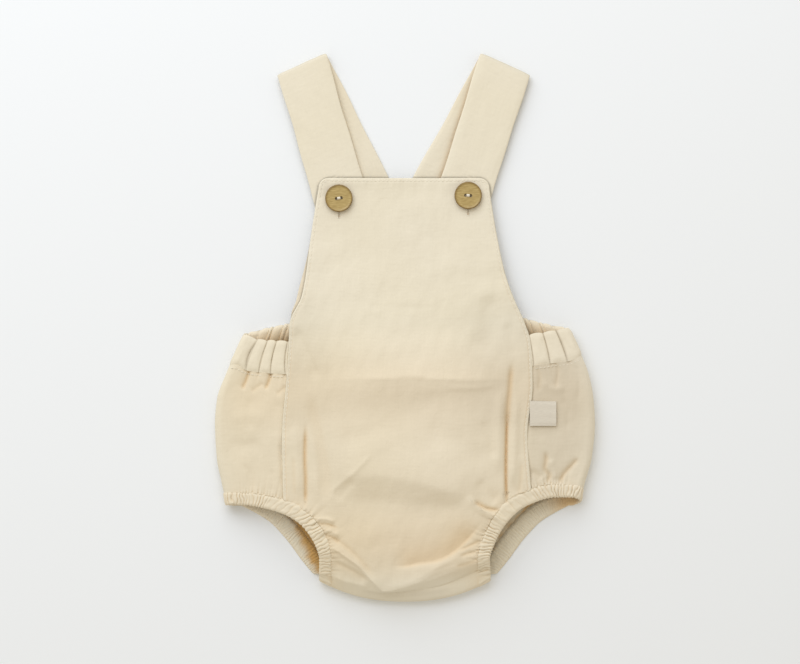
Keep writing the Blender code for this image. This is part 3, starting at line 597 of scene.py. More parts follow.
def girth_point(across, y, lift=0.0, tuck=0.0):
    """The body's outer surface at `across`, which runs from the left front seam (0) over the side
    (1), round its roll (2) and under to the centre back (3), and back to the right front seam
    (6). lift moves the point out along the section's normal, tuck its front edge inwards."""
    across, y = np.broadcast_arrays(np.asarray(across, float), np.asarray(y, float))
    left = across <= 3
    place = np.where(left, across, 6 - across)
    sign = np.where(left, -1.0, 1.0)
    radius = read(BODY, "y", "edge", y) / 2
    flat = by_side(BODY, left, y) - radius
    seam = by_side(FRONT_EDGE, left, y) - tuck
    front_x = seam + (flat - seam) * np.clip(place, 0, 1)
    turn = np.clip(place - 1, 0, 1) * math.pi
    x = np.where(place <= 1, front_x, flat + radius * np.sin(turn))
    x = np.where(place > 2, flat * (3 - place), x)
    z = np.where(place <= 1, front_height(sign * front_x, y), radius + radius * np.cos(turn))
    return joined(sign * x, y, z) + girth_normal(across) * np.asarray(lift)[..., None]


def girth_normal(across):
    """Outward from the body: up on the front, sideways at the roll's middle, down below."""
    across = np.asarray(across, float)
    left = across <= 3
    turn = np.clip(np.where(left, across, 6 - across) - 1, 0, 1) * math.pi
    side = np.where(left, -1.0, 1.0) * np.sin(turn)
    return joined(side, 0.0, np.cos(turn))


def girth_length(across):
    """The cloth's length round the body up to `across`, in mm."""
    return np.interp(across, range(7), GIRTH_LENGTHS)


def girth_read(table, across):
    """A ring table's y at `across`, from its left column up to 3 and its right one past it."""
    left = read(table, "place", "left", np.minimum(across, 3))
    right = read(table, "place", "right", 6 - np.maximum(across, 3))
    return np.where(across <= 3, left, right)


def pillow(phase, soft):
    """A row of puffs with narrow valleys between them: |sin(pi · phase)|^soft."""
    return np.abs(np.sin(math.pi * phase)) ** soft


def valley(phase, width):
    """1 at every whole phase and 0 between: exp(-(d/width)²), d the distance from the nearest."""
    return np.exp(-(((phase - np.round(phase)) / width) ** 2))


def hashed(count, seed, low, high):
    """Seeded random sizes, one for each gather, from low to high."""
    return np.random.default_rng(seed).uniform(low, high, count)


# -------------------- meshes
def grid_faces(rows, columns, ring_rows=False, ring_columns=False):
    """Quads over a grid of points numbered row by row, joined end to end where it is a ring."""
    i = np.arange(rows if ring_rows else rows - 1)[:, None]
    j = np.arange(columns if ring_columns else columns - 1)[None, :]
    down, over = (i + 1) % rows, (j + 1) % columns
    corners = [i * columns + j, i * columns + over, down * columns + over, down * columns + j]
    return np.stack([np.broadcast_to(c, (i.size, j.size)) for c in corners], -1).reshape(-1, 4)


def make_mesh(name, points, faces, surface, threads=None, fold=None, dim=None):
    """A piece from points in mm, smooth shaded. threads gives each point's place in the cloth,
    (across, along) in mm, and becomes a UV map in metres that the weave follows; fold, 0 to 1,
    says how much of a fold's deeper, warmer cream is painted on each point as painted shade, and
    the last argument how far its colour is greyed by painted shade."""
    mesh = bpy.data.meshes.new(name)
    points = np.asarray(points, float).reshape(-1, 3) * MM
    mesh.from_pydata(points.tolist(), [], faces if isinstance(faces, list) else faces.tolist())
    if threads is not None:
        flat = np.asarray(threads, float).reshape(-1, 2) * MM
        corner = np.empty(len(mesh.loops), dtype=np.int32)
        mesh.loops.foreach_get("vertex_index", corner)
        layer = mesh.uv_layers.new(name="threads")
        layer.data.foreach_set("uv", flat[corner].astype(np.float32).ravel())
        for key, values in (("fold", fold), ("dim", dim)):
            amount = np.zeros(len(points)) if values is None else np.clip(values, 0, 1).ravel()
            layer = mesh.attributes.new(key, "FLOAT", "POINT")
            layer.data.foreach_set("value", amount.astype(np.float32))
    mesh.shade_smooth()
    mesh.set_sharp_from_angle(angle=math.radians(60))
    mesh.materials.append(surface)
    mesh.update()
    piece = bpy.data.objects.new(name, mesh)
    bpy.context.scene.collection.objects.link(piece)
    return piece


def wall(piece, thickness):
    """Gives an open sheet its thickness, inwards from the surface that was worked out."""
    solid = piece.modifiers.new("wall", "SOLIDIFY")
    solid.thickness = thickness * MM
    solid.offset = -1.0
    return piece


def place_piece(piece, slot, *nodes):
    """The piece rides on the garment and stands for its solids, which are hidden; slot is not used.
    """
    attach(piece, "root")
    if nodes:
        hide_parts(*nodes)


# -------------------- materials
def linear(hex_colour):
    """An sRGB hex colour as linear RGBA: c/12.92 below 0.04045, else ((c+0.055)/1.055)^2.4."""
    value = hex_colour.lstrip("#")
    parts = [int(value[k : k + 2], 16) / 255 for k in (0, 2, 4)]
    return (*(c / 12.92 if c <= 0.04045 else ((c + 0.055) / 1.055) ** 2.4 for c in parts), 1.0)


def set_inputs(tree, made, inputs):
    """Sets a node's inputs: each is a value, or another node's output socket to link. An input's
    name has _ for a space, or is i0, i1 and so on by number."""
    for key, value in inputs.items():
        number = key[1:] if key[0] == "i" and key[1:].isdigit() else None
        socket = made.inputs[int(number)] if number else made.inputs[key.replace("_", " ")]
        if isinstance(value, bpy.types.NodeSocket):
            tree.links.new(value, socket)
        else:
            socket.default_value = value


def node(tree, kind, settings=None, **inputs):
    """Adds a shader node. settings are its properties, and its inputs are set as above."""
    made = tree.nodes.new(kind)
    for key, value in (settings or {}).items():
        setattr(made, key, value)
    set_inputs(tree, made, inputs)
    return made


def two_colours(ramp, low, high, dark, light):
    """Sets a colour ramp's two stops."""
    for stop, place, colour in zip(ramp.color_ramp.elements, (low, high), (dark, light)):
        stop.position = place
        stop.color = colour


def new_material(name, make):
    """A material whose shader takes the inputs that make(tree) works out."""
    made = bpy.data.materials.new(name)
    made.use_nodes = True
    tree = made.node_tree
    set_inputs(tree, tree.nodes["Principled BSDF"], make(tree))
    return made


MULTIPLY = {"data_type": "RGBA", "blend_type": "MULTIPLY"}  # i0 factor, i6 and i7 the two colours
BLACK = (0.0, 0.0, 0.0, 1.0)
SLUB_SLENDER = 0.12  # a slub's width as a share of its length


def cotton_double_gauze(tree):
    """Crinkled cotton double gauze: two open plain-woven layers tacked together. To the eye it is
    matt and soft, with slubs along both threads and a fine crinkle. Painted shade is laid on it: a
    deeper, warmer cream where light reaches the bottom of a fold only through or off the cloth
    beside it, and a grey where other shade falls.
    are 0.5 mm apart and too fine to show, so slubs three times as wide stand for them. The
    patches of lighter and deeper cream are 90 mm apart."""
    cloth = chosen("cloth")
    threads = node(tree, "ShaderNodeUVMap", {"uv_map": "threads"}).outputs["UV"]
    place = node(tree, "ShaderNodeTexCoord").outputs["Object"]
    short, long = 1 / cloth.slub_width, SLUB_SLENDER / cloth.slub_width
    slubs = []
    for scale in ((short, long, 1), (long, short, 1)):
        run = node(tree, "ShaderNodeMapping", Vector=threads, Scale=scale)
        noise = node(tree, "ShaderNodeTexNoise", Vector=run.outputs[0], Scale=1.0, Detail=1.5)
        slubs.append(noise.outputs["Fac"])
    weave = node(tree, "ShaderNodeMath", {"operation": "ADD"}, i0=slubs[0], i1=slubs[1])
    crinkled = node(
        tree, "ShaderNodeTexNoise", Vector=place, Scale=1 / cloth.crinkle_size,
        Detail=3.0, Roughness=0.5, Distortion=0.5,
    )
    patches = node(tree, "ShaderNodeTexNoise", Vector=place, Scale=11.0, Detail=1.0)
    tint = node(tree, "ShaderNodeValToRGB", Fac=patches.outputs["Fac"])
    two_colours(tint, 0.25, 0.75, (*cloth.shade, 1.0), (*cloth.cream, 1.0))
    slub_tone = node(
        tree, "ShaderNodeMapRange", Value=weave.outputs[0],
        From_Min=0.7, From_Max=1.3, To_Min=0.984, To_Max=1.01,
    )
    toned = node(
        tree, "ShaderNodeMix", MULTIPLY,
        i0=1.0, i6=tint.outputs["Color"], i7=slub_tone.outputs[0],
    )
    # painted shade: the fold attribute multiplies in the deeper, warmer cream of a fold's bottom
    fold = node(tree, "ShaderNodeAttribute", {"attribute_name": "fold"}).outputs["Fac"]
    folded = node(
        tree, "ShaderNodeMix", MULTIPLY,
        i0=fold, i6=toned.outputs[2], i7=(*cloth.fold_tint, 1.0),
    )
    # painted shade: a point attribute greys the colour towards black where shade falls
    dim = node(tree, "ShaderNodeAttribute", {"attribute_name": "dim"}).outputs["Fac"]
    dimmed = node(tree, "ShaderNodeMix", MULTIPLY, i0=dim, i6=folded.outputs[2], i7=BLACK)
    coarse = node(
        tree, "ShaderNodeBump", Height=crinkled.outputs["Fac"],
        Strength=0.4, Distance=cloth.crinkle_depth,
    )
    fine = node(
        tree, "ShaderNodeBump", Height=weave.outputs[0], Normal=coarse.outputs[0],
        Strength=0.4, Distance=cloth.slub_depth,
    )
    return dict(
        Base_Color=dimmed.outputs[2], Normal=fine.outputs[0], Roughness=0.92,
        Specular_IOR_Level=0.22, Sheen_Weight=0.12, Sheen_Roughness=0.5,
        Sheen_Tint=linear("#FFF4DE"),
    )


def sewing_thread(tree):
    """Spun polyester sewing thread, a shade lighter than the cloth, with a faint lustre and the
    twist's fine mottling, 0.4 mm from turn to turn."""
    sewing = chosen("sewing")
    place = node(tree, "ShaderNodeTexCoord").outputs["Object"]
    noise = node(tree, "ShaderNodeTexNoise", Vector=place, Scale=2600.0, Detail=1.0)
    ramp = node(tree, "ShaderNodeValToRGB", Fac=noise.outputs["Fac"])
    dark = [c * 0.86 for c in sewing.thread]
    two_colours(ramp, 0.3, 0.7, (*dark, 1.0), (*sewing.thread, 1.0))
    return dict(Base_Color=ramp.outputs["Color"], Roughness=0.6, Sheen_Weight=0.15)


def coconut_shell(tree):
    """Turned coconut shell: golden brown with fibres along one way, 4 mm long and 0.7 mm apart,
    darker where the rim cuts across them, and a satin polish."""
    buttons = chosen("buttons")
    place = node(tree, "ShaderNodeTexCoord").outputs["Object"]
    run = node(tree, "ShaderNodeMapping", Vector=place, Scale=(240.0, 1500.0, 900.0))
    fibre = node(tree, "ShaderNodeTexNoise", Vector=run.outputs[0], Scale=1.0, Detail=4.0)
    ramp = node(tree, "ShaderNodeValToRGB", Fac=fibre.outputs["Fac"])
    two_colours(ramp, 0.28, 0.72, (*buttons.dark, 1.0), (*buttons.light, 1.0))
    rim = node(tree, "ShaderNodeAttribute", {"attribute_name": "rim"}).outputs["Fac"]
    rimmed = node(
        tree, "ShaderNodeMix", MULTIPLY,
        i0=rim, i6=ramp.outputs["Color"], i7=linear("#BDAF94"),
    )
    bump = node(
        tree, "ShaderNodeBump", Height=fibre.outputs["Fac"], Strength=0.25, Distance=0.0001
    )
    return dict(Base_Color=rimmed.outputs[2], Normal=bump.outputs[0], Roughness=0.4)


def woven_cotton_ribbon(tree):
    """Woven cotton ribbon: off-white, with a fine rib across it and a firmer, flatter face than
    the gauze. Its ribs are 0.5 mm apart."""
    label = chosen("label")
    threads = node(tree, "ShaderNodeUVMap", {"uv_map": "threads"}).outputs["UV"]
    run = node(tree, "ShaderNodeMapping", Vector=threads, Scale=(300.0, 2000.0, 1.0))
    noise = node(tree, "ShaderNodeTexNoise", Vector=run.outputs[0], Scale=1.0, Detail=2.0)
    ramp = node(tree, "ShaderNodeValToRGB", Fac=noise.outputs["Fac"])
    dark = [c * 0.9 for c in label.ribbon]
    two_colours(ramp, 0.3, 0.7, (*dark, 1.0), (*label.ribbon, 1.0))
    bump = node(
        tree, "ShaderNodeBump", Height=noise.outputs["Fac"], Strength=0.4, Distance=0.0002
    )
    return dict(Base_Color=ramp.outputs["Color"], Normal=bump.outputs[0], Roughness=0.8)


def matt_white_card(tree):
    """Matt white card, with a grain of 1 mm that only takes the gloss off it."""
    place = node(tree, "ShaderNodeTexCoord").outputs["Object"]
    noise = node(tree, "ShaderNodeTexNoise", Vector=place, Scale=900.0, Detail=2.0)
    bump = node(
        tree, "ShaderNodeBump", Height=noise.outputs["Fac"], Strength=0.05, Distance=0.0001
    )
    return dict(
        Base_Color=(*chosen("stage").floor, 1.0), Normal=bump.outputs[0],
        Roughness=0.95, Specular_IOR_Level=0.1,
    )


FINISHES = {}


def finish(make):
    """A finish as a material of the same name, made the first time that it is asked for."""
    if make not in FINISHES:
        FINISHES[make] = new_material(make.__name__, make)
    return FINISHES[make]


# -------------------- front panel
def edge_route(side):
    """The front panel's side edge as (x, y) points: the bib corner's quarter circle, the seam and
    the leg casing, down to the crotch."""
    corner_y = BIB_TOP - BIB_CORNER
    corner_x = read(FRONT_EDGE, "y", side, corner_y) - BIB_CORNER
    turn = np.linspace(0, math.pi / 2, CORNER_POINTS + 1)[:-1]
    arc = [corner_x + BIB_CORNER * np.sin(turn), corner_y + BIB_CORNER * np.cos(turn)]
    split = read(LEG_FRONT[side], "seam_x", "seam_y", SEAM_SPLIT_X[side]) - CASING_TUCK
    y = np.linspace(corner_y, split, SEAM_POINTS)
    seam = np.stack([read(FRONT_EDGE, "y", side, y), y], 1)
    legs = [row for row in reversed(LEG_FRONT[side]) if row.seam_x < SEAM_SPLIT_X[side]]
    low = [(row.seam_x + CASING_TUCK * 0.7, row.seam_y - CASING_TUCK * 0.5) for row in legs]
    return np.concatenate([np.stack(arc, 1), seam, np.array(low)])


def leg_seam_route(side, count=160):
    """The front stretch of a leg casing's seam as (x, y) points, from the crotch to the side."""
    t = np.linspace(0, 1, count)
    shares = np.linspace(0, 1, len(LEG_FRONT[side]))
    x = curve(shares, [row.seam_x for row in LEG_FRONT[side]], t) * SIDES[side]
    return np.stack([x, curve(shares, [row.seam_y for row in LEG_FRONT[side]], t)], 1)


def rib_phase(side, share, length):
    """The count of ribs from the crotch to a share of the casing's front: the running sum of
    length / pitch, with the pitches varied by a fifth, stretched to end on a whole number."""
    count, knots = 1200, 40
    t = np.linspace(0, 1, count)
    rng = np.random.default_rng(RIB_SEED[side])
    vary = 1 + 0.22 * np.interp(t, np.linspace(0, 1, knots), rng.uniform(-1, 1, knots))
    step = length / (read(LEG_RIBS[side], "share", "pitch", t) * vary)
    total = np.concatenate([[0], np.cumsum((step[1:] + step[:-1]) / 2 / (count - 1))])
    total *= round(total[-1]) / total[-1]
    return np.interp(share, t, total)


def leg_puckers(x, y, height):
    """Puckers that run out of the leg casings into the cloth beside them. At d from the casing's
    seam, where n ribs were counted and the ribs are r high, they are height · (0.85 · r ·
    (pillow(n) - 0.55) · exp(-d/2.6) + 0.8 · (0.35 + 0.65 r) · (pillow(n/2.7) - 0.62) · exp(-d/7)).
    Beside it, painted shade: how much of a fold's deeper, warmer cream is painted deep in a pucker."""
    relief, warm = np.zeros_like(x), np.zeros_like(x)
    for side, sign in SIDES.items():
        near = (sign * x > PUCKERS_OUTSIDE) & (y < PUCKERS_BELOW)
        if not near.any():
            continue
        route = leg_seam_route(side)
        t, away = from_path(x[near], y[near], route[::8], 90)
        away = np.abs(away)
        phase = rib_phase(side, t, LEG_FRONT_LENGTH)
        slow = phase / 2.7 + 0.35 * np.sin(phase * 0.9)
        height_here = read(LEG_RIBS[side], "share", "height", t)
        ends = ease((1 - t) / 0.05) * ease(t / 0.04)
        short = (pillow(phase, 0.6) - 0.55) * np.exp(-away / 2.6) * height_here
        long = (pillow(slow, 0.6) - 0.62) * np.exp(-away / 7.0) * (0.35 + 0.65 * height_here)
        relief[near] += height * ends * (0.85 * short + 0.8 * long)
        deep = 0.16 * valley(phase, 0.16) * np.exp(-away / 2.0)
        warm[near] = np.maximum(deep, 0.1 * valley(slow, 0.1) * np.exp(-away / 6.0))
    return relief, warm


def cloth_relief(x, y, seed):
    """The gauze's own soft crinkle: one scale of 9 mm and one of 26 mm."""
    depth = chosen("cloth").relief / MM
    return crinkle(x, y, seed, 9.0, depth * 0.4, 1.6) + crinkle(x, y, seed + 1, 26.0, depth)


def panel_relief(x, y, hem, along):
    """The front panel's relief from its sewn edge: the lap raises the edge by 0.55 · exp(-(h/8)²),
    its turned edge is rounded by 0.65 · exp(-(h/0.6)²), the topstitching sinks a groove beside it,
    0.4 deep and half that on the bib, and small ripples run along it. h is the distance from the
    edge."""
    lap = 0.55 * np.exp(-((hem / 8.0) ** 2)) - 0.65 * np.exp(-((hem / 0.6) ** 2))
    groove = -0.4 + 0.2 * ease((y - 20) / 40)
    groove = groove * np.exp(-(((hem - STITCH_INSET) / 0.6) ** 2))
    wave = np.sin(along * 2 * math.pi / 5.3 + 1.5 * np.sin(along / 17))
    return lap + groove + 0.13 * wave * np.exp(-hem / 4.0) + cloth_relief(x, y, FRONT_SEED)


def front_grid(rows):
    """x and y of the front panel's points, row by row, and a, how far across each column lies,
    from -1 to 1. A point is a · edge(s) across and, down the panel, between the centre line and
    the edge by a². Columns are closest at the long creases, 0.81 of the way out, and at the edge;
    rows at the bib's top and above the crotch."""
    half_columns = 89
    half = spaced(
        half_columns,
        lambda a: 1 + 1.5 * bump_at(a, 0.81, 0.045) + 0.9 * bump_at(a, 1.0, 0.05),
    )
    across = np.concatenate([-half[::-1], half[1:]])
    share = spaced(rows, lambda t: 1 + 0.9 * bump_at(t, 0.0, 0.02) + 0.8 * ease((t - 0.8) / 0.1))
    centre = BIB_TOP + (crotch_line(0) + CROTCH_RADIUS - BIB_TOP) * share
    x, y = np.empty((rows, len(across))), np.empty((rows, len(across)))
    for side, sign in SIDES.items():
        route = edge_route(side)
        at = running_length(route)
        edge_x = curve(at, route[:, 0], share * at[-1])
        edge_y = curve(at, route[:, 1], share * at[-1])
        mine = across * sign >= 0
        a = across[mine][None, :]
        x[:, mine] = a * edge_x[:, None]
        y[:, mine] = centre[:, None] + (edge_y - centre)[:, None] * a**2
    return x, y, across


def front_shade(x, y):
    """How far the front's colour is greyed: 0.055 in the hollow under the bib's fold line, 0.05
    where the crotch turns under, and beside the belly 0.07 at the right and 0.055 at the left."""
    under_fold = window(y, -82, 36, -36.5, 2) * ease((78 - np.abs(x - 10)) / 20)
    right, left = 0.07 * ease((x - 22) / 46), 0.055 * ease((-48 - x) / 20)
    beside = window(y, -95, 40, 32, 34) * np.where(x > 0, right, left)
    return 0.055 * under_fold + 0.05 * ease((-189 - y) / 4) + beside


def front_panel():
    """Bib, front and crotch in one: front_grid's points at front_height with the sewn edge's
    relief and the casings' puckers. Past the last row they go round the crotch roll, at
    r · (1 + cos(turn)) up and r · sin(turn) out."""
    gathers = chosen("gathers")
    rows, roll_rows = 258, 10
    x, y, across = front_grid(rows)
    columns = len(across)
    inside = (1 - np.abs(across))[None, :] * np.abs(x).max(axis=1)[:, None]
    down = BIB_TOP - y
    hem, along = np.minimum(inside, down), np.where(inside < down, y, x)
    sewn = ease((y - FRONT_EDGE[0].y) / 6)
    pucker, warm = leg_puckers(x, y, gathers.pucker_height / MM)
    calm = ease((y - crotch_line(x) - CROTCH_RADIUS) / 5.0)
    relief = panel_relief(x, y, hem, along) * sewn
    relief = relief + cloth_relief(x, y, FRONT_SEED) * (1 - sewn)
    z = front_height(x, y) + (relief + pucker) * calm
    # painted shade: a fold's warmer cream in creases and puckers, less on the edge, more in the
    # groove
    deep = np.maximum(crease_relief(x, y, FRONT_CREASES)[1], warm) + read(PAINTED_SHADE_BY_Y, "y", "warm", y)
    deep = deep * (1 - 0.9 * bump_at(hem, 0.6, 0.9) * sewn)
    groove = bump_at(hem, STITCH_INSET + 0.5, 0.4)
    deep = deep + 0.14 * groove * sewn * ease((60 - y) / 40)
    turn = np.linspace(0, math.pi, roll_rows + 1)[1:, None]
    roll_x = np.repeat(x[-1:], roll_rows, axis=0)
    roll_y = crotch_line(roll_x) + CROTCH_RADIUS - CROTCH_RADIUS * np.sin(turn)
    roll_z = CROTCH_RADIUS * (1 + np.cos(turn)) + 0 * roll_x
    points = np.stack([np.vstack(p) for p in ((x, roll_x), (y, roll_y), (z, roll_z))], axis=-1)
    faces = grid_faces(rows + roll_rows, columns)[:, ::-1]
    middle = np.concatenate([y[:, columns // 2], y[-1, columns // 2] - turn[:, 0] * CROTCH_RADIUS])
    threads = joined(points[..., 0], middle[:, None])
    tints = [
        np.vstack([part, np.repeat(part[-1:], roll_rows, axis=0)])
        for part in (deep, front_shade(x, y))
    ]
    surface = finish(cotton_double_gauze)
    piece = make_mesh("front_panel_cloth", points, faces, surface, threads, *tints)
    place_piece(wall(piece, CLOTH), "gauze", "front_panel")


# -------------------- back panel
def girth_columns(front, roll, back):
    """Values of `across` from one front seam to the other."""
    half = np.concatenate(
        [np.linspace(0, 1, front)[:-1], np.linspace(1, 2, roll)[:-1], np.linspace(2, 3, back)]
    )
    return np.concatenate([half, (6 - half[:-1])[::-1]])


def leg_seam_y(across, x):
    """y of the leg casing's seam on the wrapped panel, at a place round the body."""
    place = np.where(across <= 3, across, 6 - across)
    wide = np.abs(x)
    under = read(LEG_BACK, "seam_x", "seam_y", wide)
    crotch = crotch_line(x) + CROTCH_RADIUS + SEAM_GAP
    under = np.where(wide > CROTCH_HALF + SEAM_GAP, under, crotch)
    seams = []
    for side in SIDES:
        front = LEG_FRONT[side]
        round_side = front[-1].seam_y + (LEG_BACK[0].seam_y - front[-1].seam_y) * (place - 1)
        y = np.where(place <= 1, read(front, "seam_x", "seam_y", wide), round_side)
        seams.append(np.where(place > 2, under, y))
    return np.where(across <= 3, *seams)


def waist_phase(across):
    """The waist's pleats counted round from the left front seam: whole numbers at the lines
    between pleats, which a table places at the sides and which are nearly even at the back."""
    number = np.arange(WAIST_BACK_GATHERS)
    back = WAIST_BACK_START + (3 - WAIST_BACK_START) * number / WAIST_BACK_GATHERS
    back = back + 0.012 * np.sin(number * 2.4)
    left = np.concatenate([[-0.2], WAIST_VALLEYS["left"], back])
    right = np.concatenate([[-0.2], WAIST_VALLEYS["right"], back])
    places = np.concatenate([left, (6 - right)[::-1]])
    return np.interp(across, places, np.arange(len(places)))


def inside_tint(x, y, above, right):
    """Painted shade on the inside of the back, which shows through the leg openings: a golden cream
    painted where light would come through the cloth, mottled by a crinkle of 5 mm: 0.9 at the left;
    at the right only slivers, 0.1 + 0.9 · s · exp(-h/2), with s the mottling and h the distance
    from the casing."""
    left_extra, right_extra = BACK_CASING_EXTRA.values()
    edge = above - 1.4 * np.where(right, right_extra, left_extra)
    slivers = np.clip(0.45 + 1.6 * crinkle(x, y, 73, 5.0, 1.0), 0, 1)
    slivers = 0.1 + 0.9 * slivers * np.exp(-np.clip(edge, 0, None) / 2.0)
    return np.where(right, slivers, 0.9) + 0.25 * crinkle(x, y, 71, 5.0, 1.0)


def back_panel():
    """The back, which wraps round both sides to the front seams: a grid of `across` by the share
    of the way up from the leg seams to the waist seam. It is lifted off the body by the waist's
    pleats, (pillow(n) - 0.7) · exp(-h/4) with n pleats counted and h below the seam, by broader
    swells, 0.7 · (pillow(n/2.3) - 0.6) · exp(-h/12), by the casings' puckers and by the side
    creases; underneath two fifths of that go inwards."""
    gathers = chosen("gathers")
    rows = 128
    across = girth_columns(78, 22, 50)[::-1]
    columns = len(across)
    top = girth_read(WAIST_SEAM, across) + 0.3
    bottom = top - 80
    for _ in range(6):  # the seam's y depends on x, and x on y: each round comes closer to both
        bottom = leg_seam_y(across, girth_point(across, bottom)[..., 0])
    bottom = bottom - CASING_TUCK * (np.abs(across - 3) > 1)
    up = spaced(rows, lambda t: 1 + bump_at(t, 0.0, 0.06) + bump_at(t, 1.0, 0.06))[:, None]
    y = bottom + (top - bottom) * up
    wide = np.broadcast_to(across, (rows, columns))
    x = girth_point(wide, y)[..., 0]
    below, place = top - y, np.where(wide <= 3, wide, 6 - wide)
    phase = waist_phase(wide)
    gather = (pillow(phase, 0.5) - 0.7) * np.exp(-below / PLEAT_REACH)
    gather += (pillow(phase / 2.3 + 0.4, 0.7) - 0.6) * np.exp(-below / 12.0) * 0.7
    pucker, warm = leg_puckers(x, y, gathers.pucker_height / MM)
    crease, deep = crease_relief(x, y, SIDE_CREASES)
    shelf = -0.95 * bump_at(place, 0.0, 0.06)
    lift = gather * gathers.waist_height / MM + pucker
    lift = lift + cloth_relief(x, y, BACK_SEED) + crease + shelf
    front = ease(1.6 - place)
    lift = lift * front - (1 - front) * np.abs(lift) * 0.4
    points = girth_point(wide, y, lift, 1.2)
    # painted shade: warmer cream in pleats, creases and puckers, golden inside, grey beside the lap
    pleats = 0.1 * valley(phase, 0.12) * np.exp(-below / PLEAT_REACH)
    deep = np.maximum(np.maximum(deep, warm), pleats)
    deep = np.maximum(deep, crease_relief(x, y, FRONT_CREASES)[1]) + read(PAINTED_SHADE_BY_Y, "y", "warm", y)
    turned = ease((place - 1.88) / 0.12)
    inside = inside_tint(x, y, y - bottom, wide > 3)
    fold = deep * front * (1 - turned) + inside * turned
    lap_shade = 0.14 * np.exp(-((wide * GIRTH_LENGTHS[1] / 0.9) ** 2)) * ease((-42 - y) / 20)
    dim = read(PAINTED_SHADE_BY_Y, "y", "dim", y) * ease(wide - 4) * front + lap_shade
    threads = joined(girth_length(across), y)
    faces, surface = grid_faces(rows, columns), finish(cotton_double_gauze)
    piece = make_mesh("back_panel_cloth", points, faces, surface, threads, fold, dim)
    place_piece(wall(piece, CLOTH), "gauze", "back_panel")


# -------------------- elastic bands
def band_shares(around):
    """Round a band's section: v from 0 to 1 outside and on to 2 inside, and s, the share of the
    way from seam to rim."""
    v = np.linspace(0, 2, around, endpoint=False)[None, :]
    return v, np.where(v <= 1, v, 2 - v)


def end_rungs(around, last):
    """Quads across the section at both ends of a band, whose last section starts at `last`."""
    half = around // 2
    rungs = [[0, 1, around - 1]]
    rungs += [[k, k + 1, around - k - 1, around - k] for k in range(1, half - 1)]
    rungs += [[half - 1, half, half + 1]]
    return rungs + [[last + k for k in reversed(rung)] for rung in rungs]


def band_points(seam, rim, normal, floor, puff, wall_depth, relief, around, lip=0.0, ramp=0.12):
    """A closed section for each place along a band, `around` points to a section. Outside it
    goes from seam to rim as a low pillow, (puff + relief) · swell, where swell rises from the
    seam by ease(s / ramp) and rounds off at the rim by (1 - ((s - 0.8) / 0.2)²)^0.5; inside
    straight back. floor, 0 to 1, presses the outside flat and gives its relief to the inside;
    lip turns the rim outwards by lip · s^6."""
    v, s = band_shares(around)
    swell = ease(s / ramp) * np.sqrt(1 - np.clip((s - 0.8) / 0.2, 0, 1) ** 2)
    floor = floor[:, None]
    out = (puff + relief) * swell * (1 - floor)
    deep = -wall_depth + (0.25 * wall_depth) * (1 - swell)
    inner = deep - (puff + relief * 0.8) * swell * floor
    height = np.where(v <= 1, out, inner) + np.asarray(lip) * s**6 * (1 - floor)
    flat = seam[:, None, :] + (rim - seam)[:, None, :] * s[..., None]
    return flat + normal[:, None, :] * height[..., None]


def waistband():
    """The elastic waistband, from one front seam round the back to the other: broad flat pleats
    at the sides and closer ones at the back, each with its own height and lean. With n pleats
    counted, the relief is height · size · (1.35 · pillow(n) · (1 - f/4) - 0.85), where f is the
    fraction of n and size is seeded for each pleat; the front ends sink under the panel."""
    gathers = chosen("gathers")
    around = 28
    across = girth_columns(190, 60, 330)
    place = np.where(across <= 3, across, 6 - across)
    phase = waist_phase(across)
    count = int(phase.max()) + 2
    size = hashed(count, 4, 0.65, 1.15)[np.floor(phase).astype(int)]
    part = phase - np.floor(phase)
    lip = 0.8 * (pillow(phase, 0.5) - 0.4) * size
    seam_y = girth_read(WAIST_SEAM, across) - 0.2
    top_y = girth_read(WAIST_TOP, across) - 1.2 * (1 - pillow(phase, 0.45)) + 0.3 * size
    seam = girth_point(across, seam_y, 0.0, 1.0)
    top = girth_point(across, top_y, 0.0, 1.0)
    v, s = band_shares(around)
    lean = 0.10 * np.interp(phase, np.arange(count), hashed(count, 9, -1, 1))
    bow = np.where(across < 3, 0.13, -0.04) * (place < 1.4)
    leaned = phase[:, None] + lean[:, None] * (s - 0.5) * np.where(place < 2, 1, 2)[:, None]
    leaned = leaned - bow[:, None] * (4 * s * (1 - s) - 0.5)
    pleat = pillow(leaned, np.where(place < 2, 0.3, 0.45)[:, None]) * (1.0 - 0.25 * part[:, None])
    relief = gathers.waist_height / MM * (1.35 * pleat - 0.85) * size[:, None]
    relief = relief + crinkle(across[:, None] * 50, s * WAIST_WIDTH, 31, 6.0, 0.14)
    sunk = bump_at(place, 0.0, 0.035)[:, None]
    relief = relief * (1 - sunk) - 1.3 * sunk
    floor = ease((place - 1.3) / 0.7)
    lip = (lip * (1 - sunk[:, 0]))[:, None]
    normal = girth_normal(across)
    points = band_points(seam, top, normal, floor, WAIST_PUFF, WAIST_DEPTH, relief, around, lip)
    faces = grid_faces(len(across), around, ring_columns=True).tolist()
    faces += end_rungs(around, (len(across) - 1) * around)
    threads = joined(girth_length(across)[:, None], s * WAIST_WIDTH)
    # painted shade: the back's inside golden and greyer towards the lip, pleat lines warmer and
    # greyer
    inner = (v > 1) * ease((place[:, None] - 1.6) / 0.4)
    inside = inner * (0.1 + 1.0 * (1 - s))
    warm = np.maximum(0.05 + 0.1 * valley(leaned, 0.06), inside)
    dim = inner * 0.3 * ease((0.8 - s) / 0.35) + (1 - inner) * 0.26 * valley(leaned, 0.05)
    surface = finish(cotton_double_gauze)
    piece = make_mesh("waistband_cloth", points, faces, surface, threads, warm, dim)
    place_piece(piece, "gauze", "waistband")


